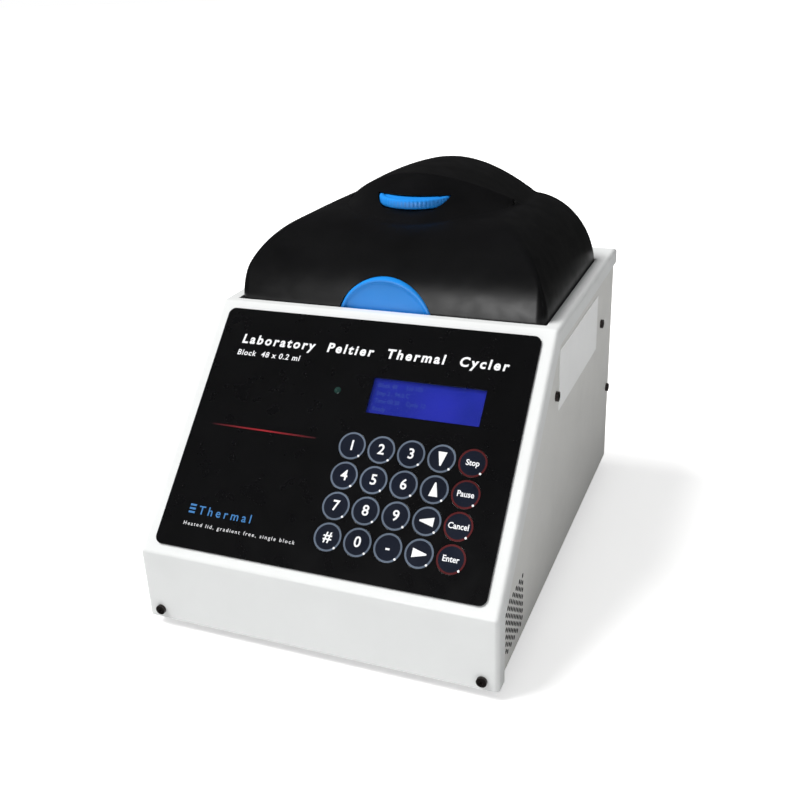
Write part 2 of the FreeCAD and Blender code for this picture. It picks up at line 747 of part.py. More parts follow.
def rear_fittings():
    """Mains inlet with its switch pocket in one housing, and the rocker that sits in it."""
    panel = "(case_rear-cover_sheet-fit_gap)"
    bezel = box("inlet_bezel", ("inlet_centre-17", "inlet_centre+17"), (panel, f"{panel}+1.5"),
                ("inlet_level-17", "rocker_level+15"))
    housing = box("inlet_housing", ("inlet_centre-14", "inlet_centre+14"), (f"{panel}-26", f"{panel}"),
                  ("inlet_level-14", "rocker_level+12"))
    socket = box("inlet_socket", ("inlet_centre-12", "inlet_centre+12"), (f"{panel}-14", f"{panel}+3"),
                 ("inlet_level-10", "inlet_level+8"))
    seat = box("rocker_seat", ("inlet_centre-6", "inlet_centre+6"), (f"{panel}-12", f"{panel}+3"),
               ("rocker_level-10", "rocker_level+10"))
    pins = [box(f"inlet_pin{i}", (f"inlet_centre{dx}-1", f"inlet_centre{dx}+1"),
                (f"{panel}-15", f"{panel}-3"),
                (f"inlet_level{dz}-2", f"inlet_level{dz}+2")) for i, (dx, dz) in enumerate(
                    (("-7", "-3"), ("+7", "-3"), ("+0", "+3")))]
    hollow = cut("inlet_hollow", fuse("inlet_solid", [bezel, housing]), [socket, seat])
    node(fuse("power_inlet", [hollow] + pins), "power_inlet")
    owner = body("power_rocker")
    side = sketch_on(owner, "YZ_Plane", "rocker_side")
    outline(side, [(-7, -5), (0, -9.2), (3, -9), (1.2, 0), (3, 9), (0, 9.2), (-7, 5)])
    pad(owner, side, 11.2, both_sides=True)
    axle = sketch_on(owner, "YZ_Plane", "rocker_axle")
    circle(axle, (0, 0), "axle_radius")
    pad(owner, axle, 11.8, both_sides=True)
    owner.Placement = Placement(Vector(), Rotation(X_AXIS, 8))
    locate(owner, "inlet_centre", panel, "rocker_level")
    node(owner, "power_rocker")


def screw(name, axis, sign, centre, face, shank=6, head=3.3):
    """Pan-head M3 screw whose head sits on face and whose shank runs away from sign."""
    cap = rod(f"{name}_cap", head, axis, centre,
              (face, f"({face})+2") if sign > 0 else (f"({face})-2", face))
    stem = rod(f"{name}_stem", "screw_radius", axis, centre,
               (f"({face})-{shank}", face) if sign > 0 else (face, f"({face})+{shank}"))
    place = list(centre)
    end = f"({face})+{sign * 2}"
    slot = rod(f"{name}_recess", 1.2, axis, place,
               (f"({end})-1", f"({end})+1"))
    return cut(name, fuse(f"{name}_solid", [cap, stem]), [slot])


def case_screws():
    screws = []
    for side in (-1, 1):
        screws.append(screw(f"front_screw{side + 1}", "y", -1, front_screw_place(side),
                            "-case_front", shank=4))
        for number, place in enumerate(SIDE_SCREWS):
            screws.append(screw(f"side_screw{side + 1}_{number}", "x", side, place,
                                f"{side}*(case_width/2-cover_sheet-fit_gap)", shank=3))
    for number, place in enumerate(REAR_SCREWS):
        screws.append(screw(f"rear_screw{number}", "y", 1, place,
                            "case_rear-cover_sheet-fit_gap", shank=4))
    for number, place in enumerate(FAN_SCREWS):
        screws.append(screw(f"fan_screw{number}", "y", 1, place,
                            "case_rear-cover_sheet-fit_gap", shank=12))
    node(group("case_screws", screws), "case_screws")


def label_plates():
    """Thin blank plate on each side, between the two upper screws."""
    face = "(case_width/2-cover_sheet-fit_gap)"
    along = ("label_front", "label_rear")
    up = ("label_low", "label_high")
    right = box("label_right", (face, f"{face}+label_thick"), along, up)
    left = box("label_left", (f"-{face}-label_thick", f"-{face}"), along, up)
    node(group("label_plates", [left, right]), "label_plates")


def strike_plate():
    """Angle under the deck's front edge that the latch hook pulls against."""
    shelf = box("strike_shelf", (-20, 20), (-28.5, "bay_front-0.4"), (183.9, f"{DECK}-cover_sheet-fit_gap"))
    lip = box("strike_lip", (-20, 20), (-27, "bay_front-0.4"), (180, 184.2))
    node(fuse("strike_plate", [shelf, lip]), "strike_plate")


# ---------------------------------------------------------------- lid

def rolled_form(name, inset, extra_drop):
    """Outer form of the lid, or the same form a distance inside it."""
    bottom = f"lid_bottom-{extra_drop}"
    sides = body(f"{name}_sides")
    plan = sketch_on(sides, "XZ_Plane", f"{name}_front_view", f"-lid_front-{inset}")
    rectangle(plan, (f"-lid_half+{inset}", f"lid_half-{inset}"), (bottom, f"lid_top-{inset}"))
    pad(sides, plan, f"lid_rear-lid_front-2*{inset}", reverse=True)
    top = size_of("lid_top") - inset
    round_edges(sides, lambda edge: runs_along(edge, "y") and abs(edge.CenterOfMass.z - top) < 0.01,
                f"shoulder_radius-{inset}")
    brow = body(f"{name}_brow")
    side = sketch_on(brow, "YZ_Plane", f"{name}_side_view")
    rectangle(side, (f"lid_front+{inset}", f"lid_rear-{inset}"), (bottom, f"lid_top-{inset}"))
    pad(brow, side, f"2*lid_half-2*{inset}", both_sides=True)
    front = size_of("lid_front") + inset
    round_edges(brow, lambda edge: runs_along(edge, "x") and abs(edge.CenterOfMass.z - top) < 0.01
                and abs(edge.CenterOfMass.y - front) < 0.01, f"brow_radius-{inset}")
    return common(f"{name}_form", [sides, brow])


def dome(name, inset, bottom):
    """Rear hump: part of an ellipsoid, bowed at the front over the wheel, flat at the back."""
    ball = doc.addObject("Part::Ellipsoid", f"{name}_ball")
    bind(ball, Radius1=f"dome_radius-{inset}", Radius2=f"dome_radius-{inset}", Radius3=f"dome_length-{inset}")
    ball.Angle1 = -90
    ball.Angle2 = 90
    ball.Angle3 = 360
    locate(ball, 0, "dome_centre", "lid_top+dome_height-dome_radius")
    visor = rod(f"{name}_visor", f"visor_radius-{inset}", "z", (0, "visor_front+visor_radius"),
                (bottom, "lid_top+dome_height+5"))
    back = box(f"{name}_back", (-90, 90), (0, f"lid_rear-{inset}"), (bottom, "lid_top+dome_height+5"))
    return common(f"{name}_dome", [ball, visor, back])


LID_BOSSES = ((-90, -6), (90, -6), (-90, 114), (90, 114))


def lid_shell():
    outer = fuse("shell_outer", [rolled_form("outer", 0, 0), dome("outer", 0, "lid_top-1")])
    wall = size_of("shell_wall")
    inner = fuse("shell_inner", [rolled_form("inner", wall, 1), dome("inner", wall, "lid_top-12")])
    hollow = cut("shell_hollow", outer, [inner])
    pillars = group("boss_rods", [rod(f"boss{i}", 4.5, "z", place, (188.7, "lid_top"))
                                  for i, place in enumerate(LID_BOSSES)])
    ribs = common("shell_bosses", [outer, pillars])
    solid = fuse("shell_solid", [hollow, ribs])
    slot = rod("wheel_slot", "wheel_radius+1", "z", (0, "wheel_centre"), ("wheel_low-0.7", "wheel_high+0.7"))
    hub = rod("hub_slot", 9.5, "z", (0, "wheel_centre"), ("lid_top+0.01", "wheel_low"))
    hole = rod("spindle_hole", 6.5, "z", (0, "wheel_centre"), ("lid_top-12", "wheel_low"))
    disc = rod("button_hole_disc", "button_radius+0.4", "y", (0, "button_centre"), (-30, -8))
    half = box("button_hole_half", (-40, 40), (-31, -7), ("button_low-0.4", 230))
    button_hole = common("button_hole", [disc, half])
    notch = box("hook_notch", (-6.5, 6.5), (-26, -18), (170, 182))
    threads = [rod(f"boss_thread{i}", "tap_radius", "z", place, (180, 200))
               for i, place in enumerate(LID_BOSSES)]
    node(cut("lid_shell", solid, [slot, hub, hole, button_hole, notch] + threads), "lid_shell")


def lid_inner_cover():
    """Plate that closes the lid from below, open for the heated plate and the latch hook."""
    gap = "(shell_wall+0.3)"
    plate = box("inner_plate", (f"-lid_half+{gap}", f"lid_half-{gap}"),
                (f"lid_front+{gap}", f"lid_rear-{gap}"), ("cover_low", "cover_high"))
    opening = box("plate_opening", ("-block_half-2", "block_half+2"),
                  ("wheel_centre-block_reach-2", "wheel_centre+block_reach+2"), (180, 195))
    slot = box("hook_slot", (-7, 7), (-30, 3), (180, 195))
    relief = box("button_relief", (-39, 39), (-30, -6.5), (180, 195))
    holes = [rod(f"lid_hole{i}", 1.7, "z", place, (180, 195)) for i, place in enumerate(LID_BOSSES)]
    node(cut("lid_inner_cover", plate, [opening, slot, relief] + holes), "lid_inner_cover")


GUIDE_X = 33


def lid_bridge():
    """Steel bridge across the lid that carries the spindle and the two guide pins."""
    deep = ("wheel_centre-beam_reach", "wheel_centre+beam_reach")
    beam = box("bridge_beam", ("-beam_half", "beam_half"), deep, ("beam_low", "beam_high"))
    legs = [box(f"bridge_leg{side}", (f"{side}*(beam_half-1.5)-1.5", f"{side}*(beam_half-1.5)+1.5"),
                deep, ("leg_low", "beam_low+1")) for side in (-1, 1)]
    toes = [box(f"bridge_toe{side}", (f"{side}*(beam_half-7)-7", f"{side}*(beam_half-7)+7"),
                deep, ("leg_low", "leg_low+2.4")) for side in (-1, 1)]
    bore = rod("bridge_bore", "spindle_radius+running_gap", "z", (0, "wheel_centre"), (210, 220))
    pin_holes = [rod(f"bridge_pin_hole{side}", "guide_radius+0.02", "z",
                     (f"{side * GUIDE_X}", "wheel_centre"), (210, 220)) for side in (-1, 1)]
    node(cut("lid_bridge", fuse("bridge_solid", [beam] + legs + toes), [bore] + pin_holes), "lid_bridge")
    pins = [rod(f"guide_pin{side}", "guide_radius", "z", (f"{side * GUIDE_X}", "wheel_centre"), (189.6, 218))
            for side in (-1, 1)]
    node(group("guide_pins", pins), "guide_pins")


def pressure_wheel():
    """Thumbwheel with a finger-grooved rim; its front half stands out of the lid."""
    owner = body("pressure_wheel")
    disc = sketch_on(owner, "XY_Plane", "wheel_disc", "wheel_low")
    circle(disc, (0, 0), "wheel_radius")
    pad(owner, disc, "wheel_high-wheel_low")
    round_edges(owner, lambda edge: edge.Length > 100, 1)
    groove = sketch_on(owner, "XY_Plane", "wheel_groove", "wheel_low")
    circle(groove, ("wheel_radius+0.6", 0), 1.2)
    first = pocket(owner, groove, 40, both_sides=True)
    around(owner, first, "Z_Axis", 48)
    hub = sketch_on(owner, "XY_Plane", "wheel_hub", "wheel_low")
    circle(hub, (0, 0), 8)
    pad(owner, hub, 2, reverse=True)
    bore = sketch_on(owner, "XY_Plane", "wheel_bore", "wheel_low")
    circle(bore, (0, 0), "spindle_radius-0.5")
    pocket(owner, bore, 8, both_sides=True)
    locate(owner, 0, "wheel_centre", 0)
    node(owner, "pressure_wheel")
    centre = (0, "wheel_centre")
    nose = rod("spindle_nose", "spindle_radius-0.52", "z", centre, (242, "wheel_low+3.9"))
    shaft = rod("spindle_shaft", "spindle_radius", "z", centre, (190.6, "wheel_low-2.2"))
    upper = rod("spindle_upper", 8, "z", centre, ("beam_high+fit_gap", "beam_high+2"))
    lower = rod("spindle_lower", 8, "z", centre, ("beam_low-2", "beam_low-fit_gap"))
    node(fuse("pressure_spindle", [nose, shaft, upper, lower]), "pressure_spindle")


SPRING_PLACES = ((-30, -24), (30, -24), (-30, 24), (30, 24))


def heated_plate():
    """Heated plate that presses on the tubes, hung from the spring plate by four posts."""
    plate = body("hot_plate_slab")
    plan = sketch_on(plate, "XY_Plane", "hot_plate_plan", "plate_low")
    rectangle(plan, ("-block_half", "block_half"), ("-block_reach", "block_reach"))
    pad(plate, plan, "plate_thick")
    round_edges(plate, lambda edge: runs_along(edge, "z"), 4)
    locate(plate, 0, "wheel_centre", 0)
    posts = [rod(f"post_stem{i}", "post_radius", "z", (x, f"wheel_centre+{y}"),
                 ("plate_low+5", "sprung_high+2"))
             for i, (x, y) in enumerate(SPRING_PLACES)]
    heads = [rod(f"post_head{i}", 4, "z", (x, f"wheel_centre+{y}"), ("sprung_high+0.2", "sprung_high+2.5"))
             for i, (x, y) in enumerate(SPRING_PLACES)]
    node(fuse("heated_plate", [plate] + posts + heads), "heated_plate")
    slab = box("spring_slab", (-42, 42), ("wheel_centre-31", "wheel_centre+31"),
               ("sprung_low", "sprung_high"))
    boss = rod("nut_boss", 10, "z", (0, "wheel_centre"), ("sprung_low", "sprung_high+10"))
    bore = rod("nut_bore", "spindle_radius+running_gap", "z", (0, "wheel_centre"), (180, 210))
    holes = [rod(f"post_hole{i}", "post_radius+0.2", "z", (x, f"wheel_centre+{y}"), (180, 200))
             for i, (x, y) in enumerate(SPRING_PLACES)]
    guides = [rod(f"guide_hole{side}", "guide_radius+0.08", "z",
                  (f"{side * GUIDE_X}", "wheel_centre"), (180, 200)) for side in (-1, 1)]
    node(cut("pressure_plate", fuse("spring_solid", [slab, boss]), [bore] + holes + guides), "pressure_plate")
    coils = [spring(f"plate_spring{i}", 4.2, 0.6, 3, "z", (x, f"wheel_centre+{y}"), 183.85)
             for i, (x, y) in enumerate(SPRING_PLACES)]
    node(group("plate_springs", coils), "plate_springs")


def latch():
    """Half-round push button, the hook it turns, and the bracket, pin and spring of the hook."""
    disc = rod("button_disc", "button_radius", "y", (0, "button_centre"), ("button_face", -13))
    rim = rod("button_rim", "button_radius+1.2", "y", (0, "button_centre"), (-14, -12))
    half = box("button_half", (-40, 40), (-30, -5), ("button_low", 230))
    stem = rod("button_stem", 2, "y", (0, 194), (-13, "hook_axis-2.4"))
    node(fuse("latch_button", [common("button_form", [fuse("button_round", [disc, rim]), half]), stem]),
         "latch_button")
    owner = body("latch_hook")
    side = sketch_on(owner, "YZ_Plane", "hook_side")
    outline(side, [(-2, 4), (2, 4), (2, -31.5), (-15, -31.5), (-18.2, -29), (-18.2, -28.1), (-2, -28.1)])
    pad(owner, side, 10, both_sides=True)
    boss = sketch_on(owner, "YZ_Plane", "hook_boss")
    circle(boss, (0, 0), 4.5)
    pad(owner, boss, 10, both_sides=True)
    bore = sketch_on(owner, "YZ_Plane", "hook_bore")
    circle(bore, (0, 0), "pin_radius+running_gap")
    pocket(owner, bore, 30, both_sides=True)
    locate(owner, 0, "hook_axis", "hook_pivot")
    node(owner, "latch_hook")
    tall = ("leg_low", "wing_top")
    back = box("latch_back", (-12.5, 12.5), ("wing_reach-2", "wing_reach"), tall)
    wings = [box(f"latch_wing{side}", (f"{side * 11}-1.5", f"{side * 11}+1.5"), (-9, "wing_reach"), tall)
             for side in (-1, 1)]
    feet = [box(f"latch_foot{side}", (f"{side * 16}-5", f"{side * 16}+5"), (-6, "wing_reach"),
                ("leg_low", "leg_low+2"))
            for side in (-1, 1)]
    hole = rod("latch_pin_hole", "pin_radius+0.02", "x", ("hook_axis", "hook_pivot"), (-20, 20))
    node(cut("latch_bracket", fuse("latch_solid", [back] + wings + feet), [hole]), "latch_bracket")
    node(rod("latch_pin", "pin_radius", "x", ("hook_axis", "hook_pivot"), (-14, 14)), "latch_pin")
    node(spring("latch_spring", 3, 0.5, 1.6, "x", ("hook_axis", "hook_pivot"), 6), "latch_spring")


def hinges(cover):
    """Two hinges behind the lid: bracket on the deck, leaf on the lid's flat back, one pin each."""
    brackets = []
    leaves = []
    pins = []
    axis = ("hinge_rear", "hinge_level")
    for number, side in enumerate((-1, 1)):
        middle = f"({side}*hinge_spread)"
        foot = box(f"hinge_foot{number}", (f"{middle}-18", f"{middle}+18"), (137.2, 154),
                   (f"{DECK_REAR}-0.9", f"{DECK_REAR}+2"))
        parts = [foot]
        for end in (-1, 1):
            centre = f"({middle}+{end}*(knuckle_half+leaf_half+0.4))"
            parts.append(rod(f"knuckle{number}_{end}", "knuckle_radius", "x", axis,
                             (f"{centre}-knuckle_half", f"{centre}+knuckle_half")))
            parts.append(box(f"web{number}_{end}", (f"{centre}-knuckle_half", f"{centre}+knuckle_half"),
                             (133, 139), (f"{DECK_REAR}-0.4", f"{DECK_REAR}+4")))
        bore = rod(f"bracket_bore{number}", "pin_radius+0.02", "x", axis, (f"{middle}-20", f"{middle}+20"))
        # The foot is cut to the deck's slope so that it sits flat on the sheet.
        brackets.append(cut(f"hinge_bracket{number}", fuse(f"bracket_solid{number}", parts), [bore, cover]))
        plate = box(f"leaf_plate{number}", (f"{middle}-15", f"{middle}+15"),
                    ("lid_rear+fit_gap", "lid_rear+2"), (200, 219))
        knuckle = rod(f"leaf_knuckle{number}", "knuckle_radius", "x", axis,
                      (f"{middle}-leaf_half", f"{middle}+leaf_half"))
        web = box(f"leaf_web{number}", (f"{middle}-leaf_half", f"{middle}+leaf_half"),
                  ("lid_rear+fit_gap", "hinge_rear"), ("hinge_level", 201))
        hole = rod(f"leaf_bore{number}", "pin_radius+running_gap", "x", axis,
                   (f"{middle}-20", f"{middle}+20"))
        leaves.append(cut(f"hinge_leaf{number}", fuse(f"leaf_solid{number}", [plate, knuckle, web]), [hole]))
        pins.append(rod(f"hinge_pin{number}", "pin_radius", "x", axis, (f"{middle}-18.5", f"{middle}+18.5")))
    node(group("hinge_brackets", brackets), "hinge_brackets")
    node(group("hinge_leaves", leaves), "hinge_leaves")
    node(group("hinge_pins", pins), "hinge_pins")


def build():
    cover = front_cover()
    side_panel("side_panel_left", -1)
    side_panel("side_panel_right", 1)
    base_plate()
    rear_panel()
    feet()
    keypad()
    display_module()
    electronics()
    sample_block()
    under_the_block()
    block_frame()
    fan()
    rear_fittings()
    case_screws()
    label_plates()
    strike_plate()
    lid_shell()
    lid_inner_cover()
    lid_bridge()
    pressure_wheel()
    heated_plate()
    latch()
    hinges(cover)
    doc.recompute()


def write_parts():
    """Writes every sub-part, once the whole document has computed without a fault."""
    for item in doc.Objects:
        if "Invalid" in item.State or "Error" in item.State:
            raise RuntimeError(f"{item.Label} is {item.State}")
    for item in NODES:
        if item.Shape.isNull() or not item.Shape.isValid():
            raise RuntimeError(f"{item.Label} has no valid shape")
    os.makedirs("parts", exist_ok=True)
    for item in NODES:
        item.Shape.exportStep(os.path.join("parts", f"{item.Label}.step"))


build()
write_parts()
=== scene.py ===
import math

import bmesh
import bpy
import numpy as np
from mathutils import Matrix, Vector


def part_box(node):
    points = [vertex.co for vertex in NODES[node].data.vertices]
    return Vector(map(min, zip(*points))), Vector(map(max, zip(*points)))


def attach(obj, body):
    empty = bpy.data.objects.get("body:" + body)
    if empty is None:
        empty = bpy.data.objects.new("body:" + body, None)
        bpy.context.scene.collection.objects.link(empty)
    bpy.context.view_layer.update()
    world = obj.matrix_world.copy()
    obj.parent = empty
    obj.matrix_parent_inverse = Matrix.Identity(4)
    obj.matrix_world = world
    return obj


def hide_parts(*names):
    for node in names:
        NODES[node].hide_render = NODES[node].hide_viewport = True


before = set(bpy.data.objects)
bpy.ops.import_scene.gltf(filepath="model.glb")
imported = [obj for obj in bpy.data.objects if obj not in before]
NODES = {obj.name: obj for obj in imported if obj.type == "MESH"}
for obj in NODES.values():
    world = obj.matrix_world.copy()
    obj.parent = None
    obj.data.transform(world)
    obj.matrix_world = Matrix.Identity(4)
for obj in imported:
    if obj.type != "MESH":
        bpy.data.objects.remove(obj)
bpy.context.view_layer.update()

# A bench-top thermal cycler. Lengths in this script are millimetres in the CAD frame; MM turns them
# into scene units where a mesh, a light or the camera is made.
MM = 0.001


def node_box(name):
    """Lowest and highest corner of a CAD node at rest, in millimetres."""
    low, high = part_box(name)
    return Vector(low) / MM, Vector(high) / MM


COVER_LOW = node_box("front_cover")[0]
SHELL_LOW, SHELL_HIGH = node_box("lid_shell")
WHEEL_LOW, WHEEL_HIGH = node_box("pressure_wheel")
BUTTON_LOW, BUTTON_HIGH = node_box("latch_button")
FRONT = COVER_LOW.y

# ------------------------------------------------------------------ materials


class Shader:
    """A node tree under construction: a Principled surface and short ways to feed its inputs."""

    def __init__(self, name):
        self.material = bpy.data.materials.new(name)
        self.material.use_nodes = True
        self.nodes = self.material.node_tree.nodes
        self.links = self.material.node_tree.links
        self.surface = self.nodes["Principled BSDF"]
        self.place = self.nodes.new("ShaderNodeTexCoord").outputs["Object"]
        self.bump = None

    def set(self, **values):
        for name, value in values.items():
            self.surface.inputs[name.replace("_", " ")].default_value = value

    def plug(self, source, name):
        self.links.new(source, self.surface.inputs[name])

    def noise(self, size, detail=3.0, stretch=(1, 1, 1)):
        """Noise whose features are about size millimetres across."""
        scale = self.nodes.new("ShaderNodeMapping")
        scale.inputs["Scale"].default_value = [1 / (size * MM * s) for s in stretch]
        self.links.new(self.place, scale.inputs["Vector"])
        texture = self.nodes.new("ShaderNodeTexNoise")
        texture.inputs["Scale"].default_value = 1.0
        texture.inputs["Detail"].default_value = detail
        self.links.new(scale.outputs["Vector"], texture.inputs["Vector"])
        return texture.outputs["Fac"]

    def spread(self, value, low, high, start=0.3, stop=0.7):
        """Maps value from start..stop to low..high."""
        step = self.nodes.new("ShaderNodeMapRange")
        for name, number in (("From Min", start), ("From Max", stop), ("To Min", low), ("To Max", high)):
            step.inputs[name].default_value = number
        self.links.new(value, step.inputs["Value"])
        return step.outputs["Result"]

    def blend(self, factor, first, second):
        """Mix of two colours, each a triple or a socket."""
        mix = self.nodes.new("ShaderNodeMix")
        mix.data_type = "RGBA"
        self.links.new(factor, mix.inputs["Factor"])
        for socket, colour in ((mix.inputs[6], first), (mix.inputs[7], second)):
            if isinstance(colour, tuple):
                socket.default_value = (*colour, 1)
            else:
                self.links.new(colour, socket)
        return mix.outputs[2]

    def relief(self, height, depth):
        """Adds a bump; depth is in millimetres."""
        bump = self.nodes.new("ShaderNodeBump")
        bump.inputs["Distance"].default_value = depth * MM
        bump.inputs["Strength"].default_value = 1.0
        self.links.new(height, bump.inputs["Height"])
        if self.bump is not None:
            self.links.new(self.bump, bump.inputs["Normal"])
        self.bump = bump.outputs["Normal"]
        self.plug(self.bump, "Normal")

    def faces_x(self):
        """A mask that is 1 where the surface faces along X and 0 where it faces across it."""
        geometry = self.nodes.new("ShaderNodeNewGeometry")
        split = self.nodes.new("ShaderNodeSeparateXYZ")
        self.links.new(geometry.outputs["True Normal"], split.inputs[0])
        size = self.nodes.new("ShaderNodeMath")
        size.operation = "ABSOLUTE"
        self.links.new(split.outputs["X"], size.inputs[0])
        return self.spread(size.outputs[0], 0, 1, 0.4, 0.6)

    def edges(self, radius):
        """A mask that is 1 on edges sharper than radius millimetres and 0 on flats."""
        bevel = self.nodes.new("ShaderNodeBevel")
        bevel.samples = 4
        bevel.inputs["Radius"].default_value = radius * MM
        geometry = self.nodes.new("ShaderNodeNewGeometry")
        dot = self.nodes.new("ShaderNodeVectorMath")
        dot.operation = "DOT_PRODUCT"
        self.links.new(bevel.outputs["Normal"], dot.inputs[0])
        self.links.new(geometry.outputs["Normal"], dot.inputs[1])
        return self.spread(dot.outputs["Value"], 1, 0, 0.80, 0.99)


def shade(colour, factor):
    return tuple(min(1.0, part * factor) for part in colour)


def plain(name, colour, rough, metal=0.0, grain=1.0, depth=0.01, mottle=0.06, wear=None, coat=0.0,
          hole_shade=None):
    """Surface with mottled colour, uneven gloss and a fine grain; wear is the colour of worn edges.

    On an upright sheet across X, the colour given for its holes is painted shade: it darkens the walls of
    the holes so that they look dark.
    """
    shader = Shader(name)
    tone = shader.spread(shader.noise(35), 0, 1)
    base = shader.blend(tone, shade(colour, 1 - mottle), shade(colour, 1 + mottle))
    if wear is not None:
        scuff = shader.nodes.new("ShaderNodeMath")
        scuff.operation = "MULTIPLY"
        shader.links.new(shader.edges(0.6), scuff.inputs[0])
        shader.links.new(shader.spread(shader.noise(4), 0, 0.8, 0.45, 0.65), scuff.inputs[1])
        base = shader.blend(scuff.outputs[0], base, wear)
    # painted shade: faces that do not face along X, the walls of the holes, take a near-black colour
    if hole_shade is not None:
        base = shader.blend(shader.faces_x(), hole_shade, base)
    shader.plug(base, "Base Color")
    shader.plug(shader.spread(shader.noise(12), rough * 0.85, rough * 1.15), "Roughness")
    shader.set(Metallic=metal, Coat_Weight=coat)
    shader.relief(shader.noise(grain, 2.0), depth)
    return shader.material


METAL_GLOSS = 0.55       # share of a brushed metal that mirrors; the rest scatters light


def brushed(name, colour, rough):
    """Metal with fine lines along X."""
    shader = Shader(name)
    lines = shader.noise(6, 4.0, (1, 1 / 12, 1 / 12))
    tone = shader.blend(shader.spread(lines, 0, 1), shade(colour, 0.85), shade(colour, 1.1))
    shader.plug(tone, "Base Color")
    shader.plug(shader.spread(lines, rough * 0.8, rough * 1.3), "Roughness")
    shader.set(Metallic=METAL_GLOSS)
    shader.relief(lines, 0.01)
    return shader.material


def clear_pane():
    """Clear window, nearly invisible but for its gloss and faint smears."""
    shader = Shader("window_clear")
    shader.set(Base_Color=(0.02, 0.03, 0.08, 1))
    shader.plug(shader.spread(shader.noise(14), 0.10, 0.16), "Alpha")
    shader.plug(shader.spread(shader.noise(14), 0.10, 0.22), "Roughness")
    shader.relief(shader.noise(9), 0.004)
    return shader.material


def backlight():
    """Blue display glass: brighter to the lower left, greyer along the top, fine cell rows."""
    shader = Shader("display_backlight")
    cloud = shader.spread(shader.noise(28), 0, 1, 0.35, 0.65)
    glow = shader.blend(cloud, (0.006, 0.014, 0.27), (0.014, 0.020, 0.40))
    shader.plug(glow, "Base Color")
    shader.plug(glow, "Emission Color")
    shader.set(Emission_Strength=0.42, Roughness=0.35)
    shader.relief(shader.noise(0.6, 1.0), 0.01)
    return shader.material


def fading_line(left, right):
    """Printed line that is brightest in the middle and fades to nothing at both ends."""
    shader = Shader("overlay_red_line")
    split = shader.nodes.new("ShaderNodeSeparateXYZ")
    shader.links.new(shader.place, split.inputs[0])
    middle = (left + right) / 2
    rise = shader.spread(split.outputs["X"], 0, 1, left * MM, middle * MM)
    fall = shader.spread(split.outputs["X"], 1, 0, middle * MM, right * MM)
    both = shader.nodes.new("ShaderNodeMath")
    both.operation = "MULTIPLY"
    shader.links.new(rise, both.inputs[0])
    shader.links.new(fall, both.inputs[1])
    dark = (0.02, 0.005, 0.008)
    shader.plug(shader.blend(both.outputs[0], dark, (0.30, 0.012, 0.02)), "Base Color")
    shader.plug(shader.spread(shader.noise(5), 0.3, 0.45), "Roughness")
    shader.relief(shader.noise(0.5, 1.0), 0.003)
    return shader.material


WHITE_PAINT = plain("paint_white", (0.785, 0.80, 0.80), 0.42, grain=0.9, depth=0.012, mottle=0.015,
                    wear=(0.60, 0.60, 0.58))
GREY_PAINT = plain("paint_side", (0.72, 0.72, 0.70), 0.5, grain=0.9, depth=0.014, mottle=0.02,
                   wear=(0.55, 0.55, 0.54))
OVERLAY = plain("overlay_black", (0.003, 0.003, 0.0035), 0.30, grain=0.35, depth=0.004, mottle=0.15)
LID_BLACK = plain("lid_satin_black", (0.0045, 0.0045, 0.005), 0.36, grain=0.55, depth=0.010, mottle=0.25,
                  wear=(0.02, 0.02, 0.021))
BLUE = plain("blue_plastic", (0.013, 0.275, 0.84), 0.42, grain=0.7, depth=0.006, mottle=0.05,
             wear=(0.10, 0.38, 0.86))
DARK_PLASTIC = plain("dark_plastic", (0.022, 0.022, 0.024), 0.5, grain=0.6, depth=0.02, mottle=0.12,
                     wear=(0.06, 0.06, 0.06))
RUBBER = plain("foot_rubber", (0.02, 0.02, 0.02), 0.75, grain=0.5, depth=0.03, mottle=0.2)
SCREW = plain("screw_dark", (0.05, 0.042, 0.04), 0.35, metal=0.8, grain=0.4, depth=0.01, mottle=0.3,
              wear=(0.22, 0.20, 0.19))
LABEL = plain("label_pale", (0.90, 0.91, 0.91), 0.6, grain=0.5, depth=0.006, mottle=0.02)
# Side panels: grey paint, with painted shade, near black, on the walls of the vent holes
SIDE_PAINT_HOLE_SHADE = plain("paint_side_shaded_holes", (0.72, 0.72, 0.70), 0.5, grain=0.9, depth=0.014, mottle=0.02,
                   wear=(0.55, 0.55, 0.54), hole_shade=(0.012, 0.012, 0.012))
ZINC = brushed("zinc_sheet", (0.55, 0.56, 0.57), 0.38)
STEEL = brushed("steel", (0.48, 0.48, 0.49), 0.30)
ALUMINIUM = brushed("aluminium", (0.70, 0.71, 0.72), 0.36)
CERAMIC = plain("ceramic_white", (0.82, 0.82, 0.80), 0.55, grain=0.4, depth=0.01)
BOARD = plain("board_green", (0.015, 0.13, 0.05), 0.4, grain=1.5, depth=0.03, mottle=0.2)
ROCKER = plain("rocker_red", (0.42, 0.012, 0.012), 0.3, grain=0.6, depth=0.006)
# White print; the same material makes the painted highlight dot on each key
WHITE_INK_AND_GLINT = plain("white_ink_and_glint", (0.85, 0.86, 0.88), 0.5, grain=0.3, depth=0.004, mottle=0.05)
INK_GREY = plain("ink_blue_grey", (0.11, 0.14, 0.19), 0.45, grain=0.3, depth=0.004, mottle=0.15)
INK_NAVY = plain("ink_navy", (0.006, 0.009, 0.020), 0.4, grain=0.3, depth=0.004, mottle=0.2)
INK_RED = plain("ink_dark_red", (0.085, 0.010, 0.012), 0.42, grain=0.3, depth=0.004, mottle=0.2)
INK_BLUE = plain("ink_blue", (0.05, 0.19, 0.45), 0.45, grain=0.3, depth=0.004, mottle=0.1)
LAMP = plain("lamp_unlit", (0.012, 0.035, 0.03), 0.2, grain=0.3, depth=0.003)
CELL = plain("display_cell", (0.05, 0.09, 0.42), 0.4, grain=0.3, depth=0.003)

